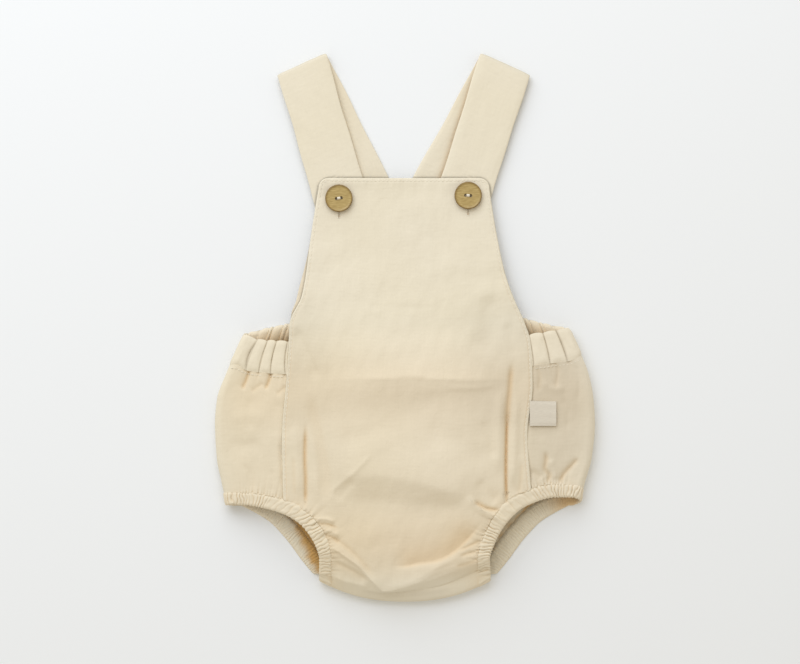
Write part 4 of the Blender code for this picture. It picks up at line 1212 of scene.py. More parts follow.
def even_course(rows, count):
    """Points evenly spaced along a table of seam and rim points: one array for each column, and
    the whole length."""
    t = np.linspace(0, 1, 400)
    shares = np.linspace(0, 1, len(rows))
    lines = [curve(shares, [getattr(row, c) for row in rows], t) for c in rows[0]._fields]
    step = np.hypot(np.diff(lines[0] + lines[2]), np.diff(lines[1] + lines[3])) / 2
    at = np.concatenate([[0], np.cumsum(step)])
    even = np.linspace(0, at[-1], count)
    return [np.interp(even, at, line) for line in lines], at[-1]


def leg_frames(side):
    """The casing's course round the leg opening, closed: seam points, rim points, outward
    normals, floor shares and a running count of ribs, from the crotch up the front, round the
    side, down the back and round the crotch roll. Beside them, the whole count of ribs and that
    of the front."""
    sign = SIDES[side]
    front_count, turn_count, back_count = 260, 30, 240

    def points(x, y, z):
        """Points of this side, in whole arrays."""
        return joined(sign * x, y, z)

    (sx, sy, rx, ry), length = even_course(LEG_FRONT[side], front_count)
    t = np.linspace(0, 1, front_count)
    seams = [points(sx, sy, front_height(sign * sx, sy))]
    rims = [points(rx, ry, front_height(sign * rx, ry))]
    normals = [points(0, 0, 1.0 + 0 * t)]
    floors, ribs = [0 * t], [rib_phase(side, t, length)]
    last, first = LEG_FRONT[side][-1], LEG_BACK[0]
    t = np.linspace(0, 1, turn_count)[1:-1]
    across = 1 + t if side == "left" else 5 - t
    seams.append(girth_point(across, last.seam_y + (first.seam_y - last.seam_y) * t))
    rims.append(girth_point(across, last.rim_y + (first.rim_y - last.rim_y) * t))
    normals.append(girth_normal(across))
    floors.append(ease(t))
    start = ribs[0][-1]
    ribs.append(start + SIDE_RIBS * t)
    (sx, sy, rx, ry), length = even_course(LEG_BACK, back_count)
    t = np.linspace(0, 1, back_count)
    extra = BACK_CASING_EXTRA[side] * np.sqrt(np.sin(math.pi * t)) / np.hypot(sx - rx, sy - ry)
    sx, sy = sx + (sx - rx) * extra, sy + (sy - ry) * extra
    seams.append(points(sx, sy, 0.0))
    rims.append(points(rx, ry, 0.0))
    normals.append(points(0, 0, -1.0 + 0 * t))
    floors.append(1 + 0 * t)
    back_ribs = round(length / BACK_RIB_PITCH)
    ribs.append(start + SIDE_RIBS + back_ribs * t)
    t = np.linspace(0, 1, turn_count)[1:-1]
    turn = math.pi * (1 - t)
    for column, home in ((LEG_FRONT[side][0].seam_x, seams), (LEG_FRONT[side][0].rim_x, rims)):
        low = crotch_line(column) + CROTCH_RADIUS - CROTCH_RADIUS * np.sin(turn)
        home.append(points(column, low, CROTCH_RADIUS + CROTCH_RADIUS * np.cos(turn)))
    normals.append(joined(0, -np.sin(turn), np.cos(turn)))
    floors.append(ease(1 - t))
    ribs.append(start + SIDE_RIBS + back_ribs + CROTCH_RIBS * t)
    parts = [np.concatenate(part) for part in (seams, rims, normals, floors, ribs)]
    return parts, start + (SIDE_RIBS + CROTCH_RIBS) + back_ribs, start


def casing_tint(side, v, s, along, behind, floor):
    """Painted shade on a casing's inner side, behind, a golden cream painted where light would come
    through the cloth: at the left over most of its width towards the crotch, at the right over a
    fifth of it, with a patch where the back begins."""
    spread = {"left": 0.95 * ease((behind - 0.2) / 0.75), "right": 0.2}[side]
    patches = crinkle(along[:, None], s * LEG_WIDTH, 49, 4.0, 1.0)
    inner = ease((spread - s) / 0.5 + 0.14 * patches) * ease(behind / 0.1)
    start = {"left": 0.2, "right": 0.7}[side] * bump_at(behind, 0.0, 0.16)
    return (v > 1) * floor[:, None] * np.maximum(inner, start)


def leg_casing(side):
    """The elastic casing round one leg opening: a closed band with a rib for each gather. With n
    ribs counted, the relief is height · size · (1.1 · pillow(n) - 0.82), where size is seeded
    for each rib; the ribs slant and wander as they cross the band."""
    gathers = chosen("gathers")
    count, around, knot_count = 1500, 22, 16
    (seams, rims, normals, floors, ribs), total, front_ribs = leg_frames(side)
    middle = (seams + rims) / 2
    at = running_length(np.vstack([middle, middle[:1]]))
    along = np.linspace(0, at[-1], count, endpoint=False)

    def ring(values, end=None):
        """Values at the frames, read evenly round the closed course."""
        values = values.reshape(len(middle), -1)
        closed = np.vstack([values, values[:1] if end is None else [[end]]])
        return np.stack([np.interp(along, at, column) for column in closed.T], axis=-1)

    seam, rim, normal = ring(seams), ring(rims), ring(normals)
    normal /= np.linalg.norm(normal, axis=1)[:, None]
    floor, rib = ring(floors)[:, 0], ring(ribs, total)[:, 0]
    share = np.clip(rib / front_ribs, 0, 1)
    number = np.floor(rib).astype(int) % int(total + 1)
    size = hashed(int(total + 2), RIB_SEED[side] + 5, 0.6, 1.15)[number]
    front_size = read(LEG_RIBS[side], "share", "height", share)
    size = size * (front_size + (0.75 - front_size) * ease((rib - front_ribs - 3) / 5))
    v, s = band_shares(around)
    knots = np.linspace(0, total, knot_count)
    slant = 1.05 * np.interp(rib, knots, hashed(knot_count, RIB_SEED[side] + 2, -1, 1))
    wander = crinkle(along[:, None], s * LEG_WIDTH, 43, 5.0, 0.26)
    phase = rib[:, None] + slant[:, None] * (s - 0.5) + wander
    fade = 0.88 + 0.26 * crinkle(along[:, None], s * LEG_WIDTH, 47, 6.0, 1.0)
    relief = (1.1 * pillow(phase, 0.42) - 0.82) * size[:, None] * gathers.rib_height / MM * fade
    relief = relief + crinkle(along[:, None], s * LEG_WIDTH, 41, 4.0, 0.16)
    unit = (rim - seam) / np.linalg.norm(rim - seam, axis=1)[:, None]
    wave = 0.5 * (pillow(rib, 0.6) - 0.6) * size
    points = band_points(
        seam - unit * 0.7 - normal * 0.3, rim + unit * wave[:, None], normal, floor,
        LEG_PUFF, LEG_DEPTH, relief, around, ramp=0.2,
    )
    faces = grid_faces(count, around, ring_rows=True, ring_columns=True)
    if side == "right":
        faces = faces[:, ::-1]
    threads = joined(along[:, None] * 1.4, s * LEG_WIDTH)
    back_ribs = total - front_ribs - (SIDE_RIBS + CROTCH_RIBS)
    behind = ((rib - front_ribs - SIDE_RIBS) / back_ribs)[:, None]
    # painted shade: a fold's warmer cream in the ribs' valleys and golden inside; a tenth all
    # outside
    warm = 0.16 * valley(phase, 0.15) * np.clip(size, 0, 1)[:, None] + 0.1 * (v <= 1)
    warm = np.maximum(warm, casing_tint(side, v, s, along, behind, floor))
    name, surface = f"leg_casing_{side}", finish(cotton_double_gauze)
    piece = make_mesh(f"{name}_cloth", points, faces, surface, threads, warm)
    place_piece(piece, "gauze", name)


# -------------------- straps
def band_distance(x, y):
    """How far a point lies outside the left strap's back part, seen from above; 0 on it."""
    spec = STRAPS["left"]
    far = np.zeros_like(x)
    for (x0, y0), (x1, y1), turn in (
        (spec.fold_outer, spec.back_outer, -1),
        (spec.fold_inner, spec.back_inner, 1),
    ):
        dx, dy = x1 - x0, y1 - y0
        far = np.maximum(far, turn * ((y - y0) * dx - (x - x0) * dy) / math.hypot(dx, dy))
    return far


def strap_lift(side, x, y):
    """z of a strap's underside behind the bib: on the floor, over the other strap, and up onto
    the waistband."""
    above = y - read(WAIST_TOP, "place", "left", 3 - np.minimum(np.abs(x), 80.0) / 112)
    lift = STRAP_END_LIFT * (1 - ease((above - 2) / STRAP_END_RAMP))
    if side == "right":
        lift = lift + STRAP_CROSS_LIFT * (1 - ease(band_distance(x, y) / STRAP_CROSS_RAMP))
    return lift


def bib_shadow(x, y):
    """How dark a strap is beside the bib's edge: 0.4 · exp(-(d/0.9)²), with d the distance from
    a line just outside the bib's top and its round corners."""
    over = np.maximum(np.abs(x) - by_side(FRONT_EDGE, x < 0, y) + BIB_CORNER, 0)
    up = np.maximum(y - BIB_TOP + BIB_CORNER, 0)
    return 0.4 * bump_at(np.hypot(over, up) - BIB_CORNER, 0.5, 0.9)


def between(start, end, share):
    """The point at a share of the way from start to end."""
    return start + (end - start) * share


def strap_course(side, spec, outward, u):
    """The middle of a strap's thickness, in three stretches: in front from its end under the bib
    up to the shoulder fold, half a turn round the fold, and behind down to the waistband. Gives x
    and y, z, the angle turned so far, and the length along the strap."""
    half = STRAP_WALL / 2
    inset = outward * (STRAP_FOLD_RADIUS - 0.6)
    fold_edge = between(spec["fold_outer"], spec["fold_inner"], u[:, None]) - inset
    front_end = between(spec["front_outer"], spec["front_inner"], u[:, None])
    back_end = between(spec["back_outer"], spec["back_inner"], u[:, None])
    front_t = spaced(110, lambda t: 1 + 4 * bump_at(t, 0.27, 0.07))[:, None]
    fold_t = np.linspace(0, 1, 22)[1:-1][:, None]
    back_t = spaced(170, lambda t: 1 + 4 * bump_at(t, 0.43, 0.05))[:, None]
    bend = STRAP_FOLD_RADIUS - half
    flat = [
        between(front_end[None], fold_edge[None], front_t[..., None]),
        fold_edge[None] + outward * bend * np.sin(math.pi * fold_t)[..., None],
        between(fold_edge[None], back_end[None], back_t[..., None]),
    ]
    top = STRAP_FRONT_TOP + (2 * STRAP_FOLD_RADIUS - STRAP_FRONT_TOP) * ease(front_t)
    middle = [
        np.broadcast_to(top - half, flat[0].shape[:2]),
        STRAP_FOLD_RADIUS + bend * np.cos(math.pi * fold_t) + 0 * u,
        strap_lift(side, flat[2][..., 0], flat[2][..., 1]) + half,
    ]
    angle = np.concatenate([0 * front_t, math.pi * fold_t, math.pi + 0 * back_t])
    behind = STRAP_FRONT + STRAP_FOLD
    length = np.concatenate([
        front_t * STRAP_FRONT, STRAP_FRONT + fold_t * STRAP_FOLD, behind + back_t * STRAP_BACK,
    ])
    return np.concatenate(flat), np.concatenate(middle), angle, length


def strap_tint(side, spec, points, angle, rear):
    """The painted shade on a strap, a warmer cream and a grey: the warmer cream for 50 mm behind
    its fold and where the front part shades it, exp(-gap/1.8) with gap the distance from the front
    part's inner edge; the grey is painted shadow beside the bib, and painted shade round the fold
    and in the front part's shade."""
    way, beyond = spec["front_inner"] - spec["fold_inner"], points[..., :2] - spec["fold_inner"]
    gap = (way[0] * beyond[..., 1] - way[1] * beyond[..., 0]) / np.linalg.norm(way)
    gap = np.maximum(gap if side == "left" else -gap, 0)
    shade = {"left": 0.1, "right": 0.45}[side] * np.exp(-gap / 1.8) * (rear > 0)
    warm = np.maximum(0.1 * np.exp(-((rear / 50) ** 2)) * (rear >= 0), shade)
    dim = np.maximum(bib_shadow(points[..., 0], points[..., 1]), 0.2 * np.sin(angle))
    return warm, np.maximum(dim, 0.4 * shade)


def strap(side):
    """A strap, a tube of cloth pressed flat, carried along strap_course. At u from 0 to 1 across,
    its half thickness is half · (1 - |2u - 1|^9)^0.5; a line of sewing sinks 0.14 beside each
    edge, and the edges sway by half a millimetre."""
    spec = {key: np.array(value) for key, value in STRAPS[side]._asdict().items()}
    fold = spec["fold_inner"] - spec["fold_outer"]
    outward = np.array([-fold[1], fold[0]]) * (1 if side == "left" else -1)
    outward = outward / np.linalg.norm(outward) * np.sign(outward[1])
    around, half = 64, STRAP_WALL / 2
    turn = full_turn(around) + math.pi / around
    u = (np.sign(np.cos(turn)) * np.abs(np.cos(turn)) ** 0.72 + 1) / 2
    height = np.sign(np.sin(turn)) * np.sqrt(1 - np.abs(2 * u - 1) ** 9)
    xy, z, angle, length = strap_course(side, spec, outward, u)
    seed, shift = {"left": (51, 0.7), "right": (53, 2.1)}[side]
    wide = u * STRAP_WIDTH
    relief = crinkle(wide, length, seed, 11.0, 0.16, 1.5)
    relief = relief + crinkle(wide, length, seed + 1, 34.0, 0.3, 2.0) * (np.sin(angle) < 0.5)
    relief = relief - 0.14 * bump_at(np.minimum(u, 1 - u) * STRAP_WIDTH, 2.4, 0.5)
    off = half * height[None, :] + relief * np.abs(height)
    outer = np.sin(angle)[..., None] * outward * off[..., None]
    points = np.concatenate([xy + outer, (z + np.cos(angle) * off)[..., None]], axis=-1)
    sway = 0.35 * np.sin(length / 19 + shift) + 0.2 * np.sin(length / 7.3)
    points[..., :2] += (sway * (2 * u - 1) ** 3)[..., None] * fold / np.linalg.norm(fold)
    points[..., 2] = np.maximum(points[..., 2], 0.02)
    rows = len(points)
    faces = grid_faces(rows, around, ring_columns=True).tolist()
    rungs = [[k, k + 1, around - k - 2, around - k - 1] for k in range(around // 2 - 1)]
    if side == "left":
        faces = [face[::-1] for face in faces]
    else:
        rungs = [rung[::-1] for rung in rungs]
    end = (rows - 1) * around
    faces += rungs + [[end + k for k in rung[::-1]] for rung in rungs]
    tints = strap_tint(side, spec, points, angle, length - (STRAP_FRONT + STRAP_FOLD))
    name, surface = f"strap_{side}", finish(cotton_double_gauze)
    piece = make_mesh(f"{name}_cloth", points, faces, surface, joined(wide, length), *tints)
    place_piece(piece, "gauze", name)


# -------------------- facing and label
def armhole_facing():
    """The strip of facing that peeps out under the bib's left curve: its edge stands out by
    peak · sin²(pi · v^0.62) and its surface follows the bib, a little below it."""
    columns, rows = 26, 120
    u, v = np.linspace(0, 1, columns)[None, :], np.linspace(0, 1, rows)[:, None]
    y = FACING_LOW + FACING_LENGTH * v + 0 * u
    bib = read(FRONT_EDGE, "y", "left", y)
    x = -(bib + FACING_PEAK * np.sin(math.pi * v**0.62) ** 2 - FACING_WIDTH * u)
    ripple = 0.15 * np.sin(y / 2.2) * (1 - u)
    z = front_height(x, y) - FACING_BELOW + ripple + crinkle(x, y, 61, 6.0, 0.1)
    faces, surface = grid_faces(rows, columns), finish(cotton_double_gauze)
    # painted shade: a fold's warmer cream all over, and a painted shadow along the bib's edge
    piece = make_mesh(
        "armhole_facing_left_cloth", joined(x, y, z), faces, surface, joined(x, y),
        0.15 + 0 * x, 0.38 * bump_at(-x - bib, 0.1, 0.8),
    )
    place_piece(wall(piece, CLOTH), "gauze", "armhole_facing_left")


def side_label():
    """A blank folded ribbon, sewn into the right front seam and lying on the side. Its free end
    lifts by 0.5 · u² and its corners dip by 0.35 · |v|³ · u."""
    columns, rows = 48, 48
    u, v = np.linspace(0, 1, columns)[None, :], np.linspace(-1, 1, rows)[:, None]
    x = LABEL_SEAM_X + LABEL_LENGTH * u + 0 * v
    y = LABEL_Y + (LABEL_HALF - 0.2 * u) * v - 0.3 * u
    z = front_height(x, y) + LABEL_ABOVE + 0.5 * u**2 - 0.35 * np.abs(v) ** 3 * u
    z = z + 0.08 * np.cos(v * 9) * u - 0.12 * bump_at(np.abs(v), 0.9, 0.05)
    faces, surface = grid_faces(rows, columns), finish(woven_cotton_ribbon)
    threads = joined(u * 20.0, v * 9.75)
    piece = make_mesh("side_label_ribbon", joined(x, y, z), faces, surface, threads)
    place_piece(wall(piece, LABEL_WALL), "ribbon", "side_label")


# -------------------- sewing
def capsules(starts, ends, thick, sag=0.0):
    """Stitches as one mesh: each is a six-sided capsule from start to end, with the radius
    thick/2 · sin(pi · t)^0.35 along it and its ends pulled down by sag · |2t - 1|³."""
    rings, around = 6, 6
    t = np.linspace(0.02, 0.98, rings)
    radius = thick / 2 * np.sin(math.pi * t) ** 0.35
    way = ends - starts
    way = way / np.linalg.norm(way, axis=1, keepdims=True)
    up = np.array([0.0, 0.0, 1.0]) - way * way[:, 2:3]
    up /= np.linalg.norm(up, axis=1, keepdims=True)
    over = np.cross(way, up)
    a = full_turn(around)
    centre = starts[:, None, :] + (ends - starts)[:, None, :] * t[None, :, None]
    centre = centre - sag * np.abs(2 * t - 1)[None, :, None] ** 3 * up[:, None, :]
    ringed = over[:, None, None, :] * np.cos(a)[None, None, :, None]
    ringed = ringed + up[:, None, None, :] * np.sin(a)[None, None, :, None]
    points = centre[:, :, None, :] + ringed * radius[None, :, None, None]
    size = rings * around
    one = grid_faces(rings, around, ring_columns=True)[:, ::-1].tolist()
    one += [list(range(around)), list(range(size - around, size))[::-1]]
    faces = [[k + number * size for k in face] for number in range(len(starts)) for face in one]
    return points.reshape(-1, 3), faces


def stitch_row(route, pitch, length):
    """The starts and ends of running stitches along a route of 3-D points."""
    at = running_length(route)
    begin = np.arange(pitch / 2, at[-1] - length, pitch)
    return [joined(*(np.interp(begin + d, at, c) for c in route.T)) for d in (0, length)]


def inset_edge(side, inset):
    """The front panel's side edge from the bib's top to the leg casing, moved inwards."""
    route = edge_route(side)[: CORNER_POINTS + SEAM_POINTS]
    step = np.gradient(route, axis=0)
    inward = np.stack([step[:, 1], -step[:, 0]], 1)
    inward /= np.linalg.norm(inward, axis=1, keepdims=True)
    inward *= -np.sign(inward[20, 0])
    return path_points((route + inward * inset) * (SIDES[side], 1.0), 700)


def topstitching():
    """Every row of topstitching on the front, as one mesh of short raised stitches: inside the
    front panel's edge, across the bib's top and below the waistband at both sides. Each row
    follows the relief of the cloth under it."""
    sewing = chosen("sewing")
    waist_height = chosen("gathers").waist_height / MM
    bib_x = np.linspace(-56, 55, 400)
    edges = [(*inset_edge(side, STITCH_INSET).T, 1) for side in SIDES]
    edges.append((bib_x, np.full_like(bib_x, BIB_TOP - STITCH_INSET), 0))
    rows = []
    for x, y, down in edges:
        relief = panel_relief(x, y, np.full_like(x, STITCH_INSET), y if down else x)
        rows.append((x, y, front_height(x, y) + relief + STITCH_ABOVE))
    for side in SIDES:
        place = np.linspace(0.02, 1.3, 300)
        across = place if side == "left" else 6 - place
        x, y, z = girth_point(across, girth_read(WAIST_SEAM, across) - 2.2).T
        puff = (pillow(waist_phase(across), 0.5) - 0.7) * math.exp(-2.5 / PLEAT_REACH)
        soft, crease = cloth_relief(x, y, BACK_SEED), crease_relief(x, y, SIDE_CREASES)[0]
        rows.append((x, y, z + puff * waist_height + soft + crease + 0.25))
    pairs = [stitch_row(joined(*row), sewing.pitch / MM, sewing.length / MM) for row in rows]
    starts, ends = (np.concatenate(side) for side in zip(*pairs))
    points, faces = capsules(starts, ends, sewing.width / MM, 0.12)
    place_piece(make_mesh("topstitching", points, faces, finish(sewing_thread)), "gauze")


# -------------------- buttons
BUTTON_PROFILE = (  # shares of the radius and of the height, from the face's middle to the back's
    (0.0, 0.76), (0.35, 0.76), (0.7, 0.77), (0.82, 0.79), (0.865, 0.86), (0.9, 0.94),
    (0.935, 0.98), (0.965, 0.95), (0.988, 0.86), (1.0, 0.68), (0.995, 0.45), (0.96, 0.2),
    (0.90, 0.04), (0.82, 0.0), (0.4, 0.0), (0.0, 0.0),
)


def button_base(side):
    """z of a button's underside: just above the bib round its rim."""
    x, y = BUTTONS[side]
    a = full_turn(16)
    reach = 0.9 * BUTTON_RADIUS
    rim = front_height(x + reach * np.cos(a), y + reach * np.sin(a)).max()
    return max(rim, float(front_height(x, y))) + BUTTON_ABOVE


def holes_of(side):
    """The centres of a button's two thread holes."""
    x, y = BUTTONS[side]
    offset, tilt = chosen("buttons").hole_offset / MM, BUTTON_TILT[side]
    step = np.array([math.cos(tilt), math.sin(tilt)]) * offset
    return np.array([x, y]) - step, np.array([x, y]) + step


def button(side):
    """A turned button: its profile, a flat face inside a round raised rim, is carried round in a
    full turn, and two thread holes are bored through it. The rim attribute rises to 1 over the
    outer sixth of the radius."""
    profile = np.array(BUTTON_PROFILE)
    t, fine_t = np.linspace(0, 1, len(profile)), np.linspace(0, 1, 61)
    fine = np.stack([curve(t, profile[:, k], fine_t) for k in (0, 1)], -1)[1:-1]
    around = 96
    a = full_turn(around)
    r, h = fine[:, 0, None] * BUTTON_RADIUS, fine[:, 1, None] * BUTTON_WALL
    (x0, y0), z0 = BUTTONS[side], button_base(side)
    ring = joined(x0 + r * np.cos(a), y0 + r * np.sin(a), z0 + h)
    ends = [[x0, y0, z0 + profile[0, 1] * BUTTON_WALL], [x0, y0, z0]]
    rows, top = len(fine), len(fine) * around
    low = top - around
    faces = grid_faces(rows, around, ring_columns=True)[:, ::-1].tolist()
    faces += [[top, k, (k + 1) % around] for k in range(around)]
    faces += [[top + 1, low + (k + 1) % around, low + k] for k in range(around)]
    points = np.vstack([ring.reshape(-1, 3), ends])
    piece = make_mesh(f"button_{side}_turned", points, faces, finish(coconut_shell))
    for hole in holes_of(side):
        bore = button_bore(*hole, z0)
        cut = piece.modifiers.new("hole", "BOOLEAN")
        cut.operation, cut.solver, cut.object = "DIFFERENCE", "EXACT", bore
        bored = bpy.data.meshes.new_from_object(
            piece.evaluated_get(bpy.context.evaluated_depsgraph_get())
        )
        piece.modifiers.clear()
        piece.data = bored
        bpy.data.objects.remove(bore)
    where = np.empty(len(bored.vertices) * 3)
    bored.vertices.foreach_get("co", where)
    flat = where.reshape(-1, 3)[:, :2] / MM - (x0, y0)
    rim = ease((np.linalg.norm(flat, axis=1) / BUTTON_RADIUS - 0.84) / 0.14)
    layer = bored.attributes.new("rim", "FLOAT", "POINT")
    layer.data.foreach_set("value", rim.astype(np.float32))
    bored.shade_smooth()
    bored.set_sharp_from_angle(angle=math.radians(40))
    place_piece(piece, "button", f"button_{side}")


def button_bore(x, y, z):
    """A cutter for a thread hole: a 24-sided rod from 2 below the button's underside to 6 above."""
    around = 24
    radius = chosen("buttons").hole_radius / MM
    a = full_turn(around)
    ends = [joined(x + radius * np.cos(a), y + radius * np.sin(a), z + d) for d in (-2, 6)]
    over = [(k + 1) % around for k in range(around)]
    faces = [[k, next_k, around + next_k, around + k] for k, next_k in enumerate(over)]
    faces += [list(range(around))[::-1], list(range(around, 2 * around))]
    return make_mesh("bore", np.vstack(ends), faces, finish(coconut_shell))


def button_thread(side):
    """The thread that holds a button: three strands from hole to hole, sunk into both. Along a
    strand, s from -1 to 1, the height is rise - 11 · (|s| - 0.72)^1.2 past |s| = 0.72."""
    (x0, y0), tilt = BUTTONS[side], BUTTON_TILT[side]
    reach = chosen("buttons").hole_offset / MM - 0.5
    z0 = button_base(side) + 0.77 * BUTTON_WALL
    rows, around = 25, 8
    size = rows * around
    t, a = np.linspace(-1, 1, rows)[:, None], full_turn(around)[None, :]
    strands, faces = [], []
    for number, (offset, rise) in enumerate(((-0.52, 0.0), (0.52, 0.0), (0.0, 0.3))):
        along = reach * np.sign(t) * np.abs(t) ** 0.6
        height = 0.3 + rise - 11.0 * np.clip(np.abs(t) - 0.72, 0, 1) ** 1.2
        width = offset * (1 - 0.4 * t**2) + 0.4 * np.cos(a)
        strands.append(joined(along, width, height + 0.36 * np.sin(a)).reshape(-1, 3))
        first, end = number * size, (number + 1) * size
        faces += (grid_faces(rows, around, ring_columns=True)[:, ::-1] + first).tolist()
        faces += [list(range(first, first + around)), list(range(end - around, end))[::-1]]
    along, width, height = np.concatenate(strands).T
    x = x0 + along * math.cos(tilt) - width * math.sin(tilt)
    y = y0 + along * math.sin(tilt) + width * math.cos(tilt)
    points = joined(x, y, z0 + height)
    piece = make_mesh(f"button_thread_{side}", points, faces, finish(sewing_thread))
    place_piece(piece, "gauze")


def buttonhole(side):
    """The buttonhole's satin stitches: two close rows across the edges of the slit, and a bar
    across each end. Only its lower end shows, below the button."""
    x0, y0 = BUTTONS[side]
    low, high = y0 - BUTTONHOLE_BELOW, y0 + BUTTONHOLE_ABOVE
    ys = np.arange(low + 0.4, high, 0.42)
    starts, ends = [], []
    for sign in (-1, 1):
        starts.append(joined(x0 + sign * 0.5, ys, 0.0))
        ends.append(joined(x0 + sign * 1.15, ys + 0.05, 0.0))
    bar = np.arange(-1.0, 1.1, 0.36)
    for y in (low - 0.8, high):
        starts.append(joined(x0 + bar, y, 0.0))
        ends.append(joined(x0 + bar, y + 1.0, 0.0))
    starts, ends = np.concatenate(starts), np.concatenate(ends)
    for row in (starts, ends):
        x, y = row[:, 0], row[:, 1]
        row[:, 2] = front_height(x, y) + cloth_relief(x, y, FRONT_SEED) + 0.12
    points, faces = capsules(starts, ends, SATIN_THICK)
    piece = make_mesh(f"buttonhole_{side}", points, faces, finish(sewing_thread))
    place_piece(piece, "gauze")


def slit(side):
    """The open slit of the buttonhole, a shallow lens of cloth between the two rows, darkened by
    painted shade.
    """
    x0, y0 = BUTTONS[side]
    columns, rows = 9, 60
    u, v = np.linspace(-1, 1, columns)[None, :], np.linspace(-1, 1, rows)[:, None]
    y = y0 + (BUTTONHOLE_ABOVE - BUTTONHOLE_BELOW) / 2
    y = y + (BUTTONHOLE_ABOVE + BUTTONHOLE_BELOW) / 2 * v + 0 * u
    x = x0 + 0.7 * u * np.sqrt(np.clip(1 - v**8, 0, 1)) + 0 * y
    z = front_height(x, y) + cloth_relief(x, y, FRONT_SEED) + 0.16 - 0.2 * (1 - u**2)
    faces, surface = grid_faces(rows, columns), finish(cotton_double_gauze)
    # painted shade: a fold's warmer cream all over, and grey across most of the slit's width
    piece = make_mesh(
        f"buttonhole_slit_{side}", joined(x, y, z), faces, surface, joined(x, y),
        np.ones_like(x), 0.88 * (1 - u**4) + 0 * v,
    )
    place_piece(wall(piece, SLIT_WALL), "gauze")


# -------------------- stage, in metres
FLOOR_BELOW = 0.0004
WINDOW_PLACE = (-0.5, 1.25, 1.15)
VIEW_CENTRE = (-0.00365, -0.003285)
VIEW_HEIGHT = 0.006  # of the plane in which view_width is measured
LENS, SENSOR = 100.0, 36.0  # in mm


def place_object(name, data, place):
    """Adds an object at a place, unturned, so that a lamp or a camera points straight down."""
    holder = bpy.data.objects.new(name, data)
    holder.location = place
    bpy.context.scene.collection.objects.link(holder)
    return holder


def stage():
    """A pale floor, a large soft lamp beyond the shoulders, a fill from all round, and a camera
    straight above, as far up as its lens needs to see view_width of the floor."""
    look = chosen("stage")
    mesh = bpy.data.meshes.new("floor")
    side = look.floor_size / 2
    corners = [(-side, -side, 0), (side, -side, 0), (side, side, 0), (-side, side, 0)]
    mesh.from_pydata(corners, [], [(0, 1, 2, 3)])
    mesh.materials.append(finish(matt_white_card))
    floor = place_object("floor", mesh, (0.0, 0.0, -FLOOR_BELOW))
    world = bpy.data.worlds.new("studio")
    world.use_nodes = True
    back = world.node_tree.nodes["Background"]
    back.inputs["Color"].default_value = (*look.fill, 1.0)
    back.inputs["Strength"].default_value = look.fill_strength
    bpy.context.scene.world = world
    key = bpy.data.lights.new("window", "AREA")
    key.energy, key.size, key.color = look.key_power, look.key_size, look.key
    lamp = place_object("window", key, WINDOW_PLACE)
    lamp.rotation_euler = (-Vector(WINDOW_PLACE)).to_track_quat("-Z", "Y").to_euler()
    camera = bpy.data.cameras.new("camera")
    camera.lens, camera.sensor_width = LENS, SENSOR
    distance = look.view_width * camera.lens / camera.sensor_width
    place = (*VIEW_CENTRE, distance + VIEW_HEIGHT)
    bpy.context.scene.camera = place_object("camera", camera, place)
    bpy.context.scene.view_settings.view_transform = "Standard"


# -------------------- settings
def colour_setting(name, description, hex_colour):
    """A colour that a user can change, from its sRGB hex value."""
    return FloatVectorProperty(
        name=name, description=description, default=linear(hex_colour)[:3],
        subtype="COLOR", size=3, min=0.0, max=1.0,
    )


def length_setting(name, description, default):
    """A length that a user can change, in metres."""
    return FloatProperty(
        name=name, description=description, default=default, unit="LENGTH", precision=5
    )


class ClothSettings(bpy.types.PropertyGroup):
    """The double gauze."""

    cream: colour_setting("Cream", "The cloth's lighter patches", "#EAE0CA")
    shade: colour_setting("Shade", "The cloth's deeper patches", "#E6DBC1")
    # painted shade: the colour that multiplies the cloth deep in a fold
    fold_tint: colour_setting("Fold tint", "Multiplies the colour deep in a fold", "#EBC58A")
    relief: length_setting("Relief", "Height of the soft crinkle", 0.0004)
    crinkle_size: length_setting("Crinkle size", "Distance between fine crinkles", 0.004)
    crinkle_depth: length_setting("Crinkle depth", "Depth of fine crinkles", 0.0006)
    slub_width: length_setting("Slub width", "Width of a slub as shown", 0.0015)
    slub_depth: length_setting("Slub depth", "Height of a slub", 0.00018)


class GatherSettings(bpy.types.PropertyGroup):
    """The gathers made by the elastic."""

    waist_height: length_setting("Waist pleats", "Height of the waistband's pleats", 0.0014)
    rib_height: length_setting("Leg ribs", "Height of the leg casings' ribs", 0.00085)
    pucker_height: length_setting("Puckers", "Height of the puckers beside a casing", 0.001)


class SewingSettings(bpy.types.PropertyGroup):
    """The topstitching."""

    pitch: length_setting("Pitch", "From one stitch to the next", 0.0029)
    length: length_setting("Length", "Length of one stitch", 0.0022)
    width: length_setting("Width", "Width of the thread", 0.00045)
    thread: colour_setting("Thread", "The thread's colour", "#F4ECD9")


class ButtonSettings(bpy.types.PropertyGroup):
    """The two buttons."""

    light: colour_setting("Light fibre", "The shell's lighter fibres", "#C2A96C")
    dark: colour_setting("Dark fibre", "The shell's darker fibres", "#9E8348")
    hole_radius: length_setting("Hole radius", "Radius of a thread hole", 0.0012)
    hole_offset: length_setting("Hole offset", "From the centre to a hole", 0.0018)


class LabelSettings(bpy.types.PropertyGroup):
    """The blank label."""

    ribbon: colour_setting("Ribbon", "The ribbon's colour", "#DED4C1")


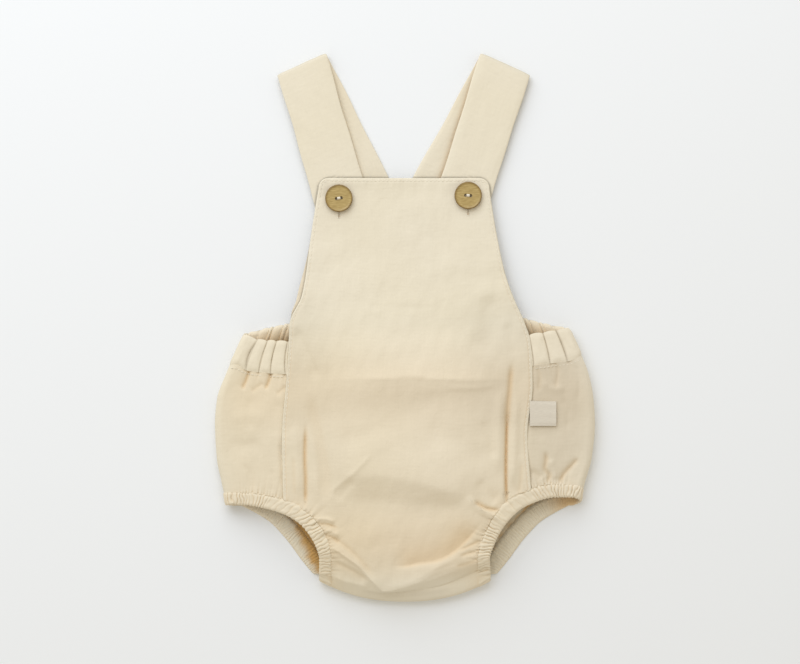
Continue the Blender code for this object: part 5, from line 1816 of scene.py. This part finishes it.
class StageSettings(bpy.types.PropertyGroup):
    """The floor, the light and the view."""

    floor: colour_setting("Floor", "The floor's colour", "#F1F2F1")
    floor_size: length_setting("Floor size", "Length of the floor's side", 6.0)
    key: colour_setting("Window light", "Colour of the large lamp", "#E6EFFF")
    key_power: FloatProperty(
        name="Window power", description="Power of the large lamp", default=26.4, unit="POWER"
    )
    key_size: length_setting("Window size", "Side of the large lamp", 1.9)
    fill: colour_setting("Fill light", "Colour of the light from all round", "#FFFAF0")
    fill_strength: FloatProperty(
        name="Fill strength", description="Strength of the light from all round", default=0.66
    )
    view_width: length_setting("View width", "Width of floor that the camera sees", 0.584)


# -------------------- operators
class DUNGAREES_OT_front_panel(bpy.types.Operator):
    """Make the bib and front"""

    bl_idname = "dungarees.front_panel"
    bl_label = "Front panel"

    def execute(self, context):
        front_panel()
        return {"FINISHED"}


class DUNGAREES_OT_back_panel(bpy.types.Operator):
    """Make the back, which wraps round both sides"""

    bl_idname = "dungarees.back_panel"
    bl_label = "Back panel"

    def execute(self, context):
        back_panel()
        return {"FINISHED"}


class DUNGAREES_OT_waistband(bpy.types.Operator):
    """Make the elastic waistband"""

    bl_idname = "dungarees.waistband"
    bl_label = "Waistband"

    def execute(self, context):
        waistband()
        return {"FINISHED"}


class DUNGAREES_OT_leg_casings(bpy.types.Operator):
    """Make both elastic leg casings"""

    bl_idname = "dungarees.leg_casings"
    bl_label = "Leg casings"

    def execute(self, context):
        for side in SIDES:
            leg_casing(side)
        return {"FINISHED"}


class DUNGAREES_OT_straps(bpy.types.Operator):
    """Make both straps"""

    bl_idname = "dungarees.straps"
    bl_label = "Straps"

    def execute(self, context):
        for side in SIDES:
            strap(side)
        return {"FINISHED"}


class DUNGAREES_OT_facing(bpy.types.Operator):
    """Make the armhole facing that shows"""

    bl_idname = "dungarees.facing"
    bl_label = "Armhole facing"

    def execute(self, context):
        armhole_facing()
        return {"FINISHED"}


class DUNGAREES_OT_label(bpy.types.Operator):
    """Make the blank side label"""

    bl_idname = "dungarees.label"
    bl_label = "Side label"

    def execute(self, context):
        side_label()
        return {"FINISHED"}


class DUNGAREES_OT_buttons(bpy.types.Operator):
    """Make both buttons, their thread and their buttonholes"""

    bl_idname = "dungarees.buttons"
    bl_label = "Buttons"

    def execute(self, context):
        for side in SIDES:
            button(side)
            button_thread(side)
            slit(side)
            buttonhole(side)
        return {"FINISHED"}


class DUNGAREES_OT_topstitching(bpy.types.Operator):
    """Make the rows of topstitching"""

    bl_idname = "dungarees.topstitching"
    bl_label = "Topstitching"

    def execute(self, context):
        topstitching()
        return {"FINISHED"}


class DUNGAREES_OT_stage(bpy.types.Operator):
    """Make the floor, the light and the camera"""

    bl_idname = "dungarees.stage"
    bl_label = "Stage"

    def execute(self, context):
        stage()
        return {"FINISHED"}


OPERATORS = (
    DUNGAREES_OT_front_panel,
    DUNGAREES_OT_back_panel,
    DUNGAREES_OT_waistband,
    DUNGAREES_OT_leg_casings,
    DUNGAREES_OT_straps,
    DUNGAREES_OT_facing,
    DUNGAREES_OT_label,
    DUNGAREES_OT_buttons,
    DUNGAREES_OT_topstitching,
    DUNGAREES_OT_stage,
)
SETTINGS = {
    "dungarees_cloth": ClothSettings,
    "dungarees_gathers": GatherSettings,
    "dungarees_sewing": SewingSettings,
    "dungarees_buttons": ButtonSettings,
    "dungarees_label": LabelSettings,
    "dungarees_stage": StageSettings,
}


class DUNGAREES_PT_pieces(bpy.types.Panel):
    """The garment's settings and pieces"""

    bl_label = "Short dungarees"
    bl_idname = "DUNGAREES_PT_pieces"
    bl_space_type = "VIEW_3D"
    bl_region_type = "UI"
    bl_category = "Dungarees"

    def draw(self, context):
        for name, group in SETTINGS.items():
            box = self.layout.box()
            for key in group.__annotations__:
                box.prop(getattr(context.scene, name), key)
        for operator in OPERATORS:
            self.layout.operator(operator.bl_idname)


def register():
    """Adds the settings, the operators and the panel to Blender."""
    for group in SETTINGS.values():
        bpy.utils.register_class(group)
    for name, group in SETTINGS.items():
        setattr(bpy.types.Scene, name, PointerProperty(type=group))
    for operator in OPERATORS:
        bpy.utils.register_class(operator)
    bpy.utils.register_class(DUNGAREES_PT_pieces)


def unregister():
    """Takes them out again."""
    bpy.utils.unregister_class(DUNGAREES_PT_pieces)
    for operator in reversed(OPERATORS):
        bpy.utils.unregister_class(operator)
    for name, group in SETTINGS.items():
        delattr(bpy.types.Scene, name)
        bpy.utils.unregister_class(group)


def main():
    """Registers the classes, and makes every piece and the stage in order."""
    register()
    for operator in OPERATORS:
        group, name = operator.bl_idname.split(".")
        getattr(getattr(bpy.ops, group), name)()


if __name__ == "__main__":
    main()
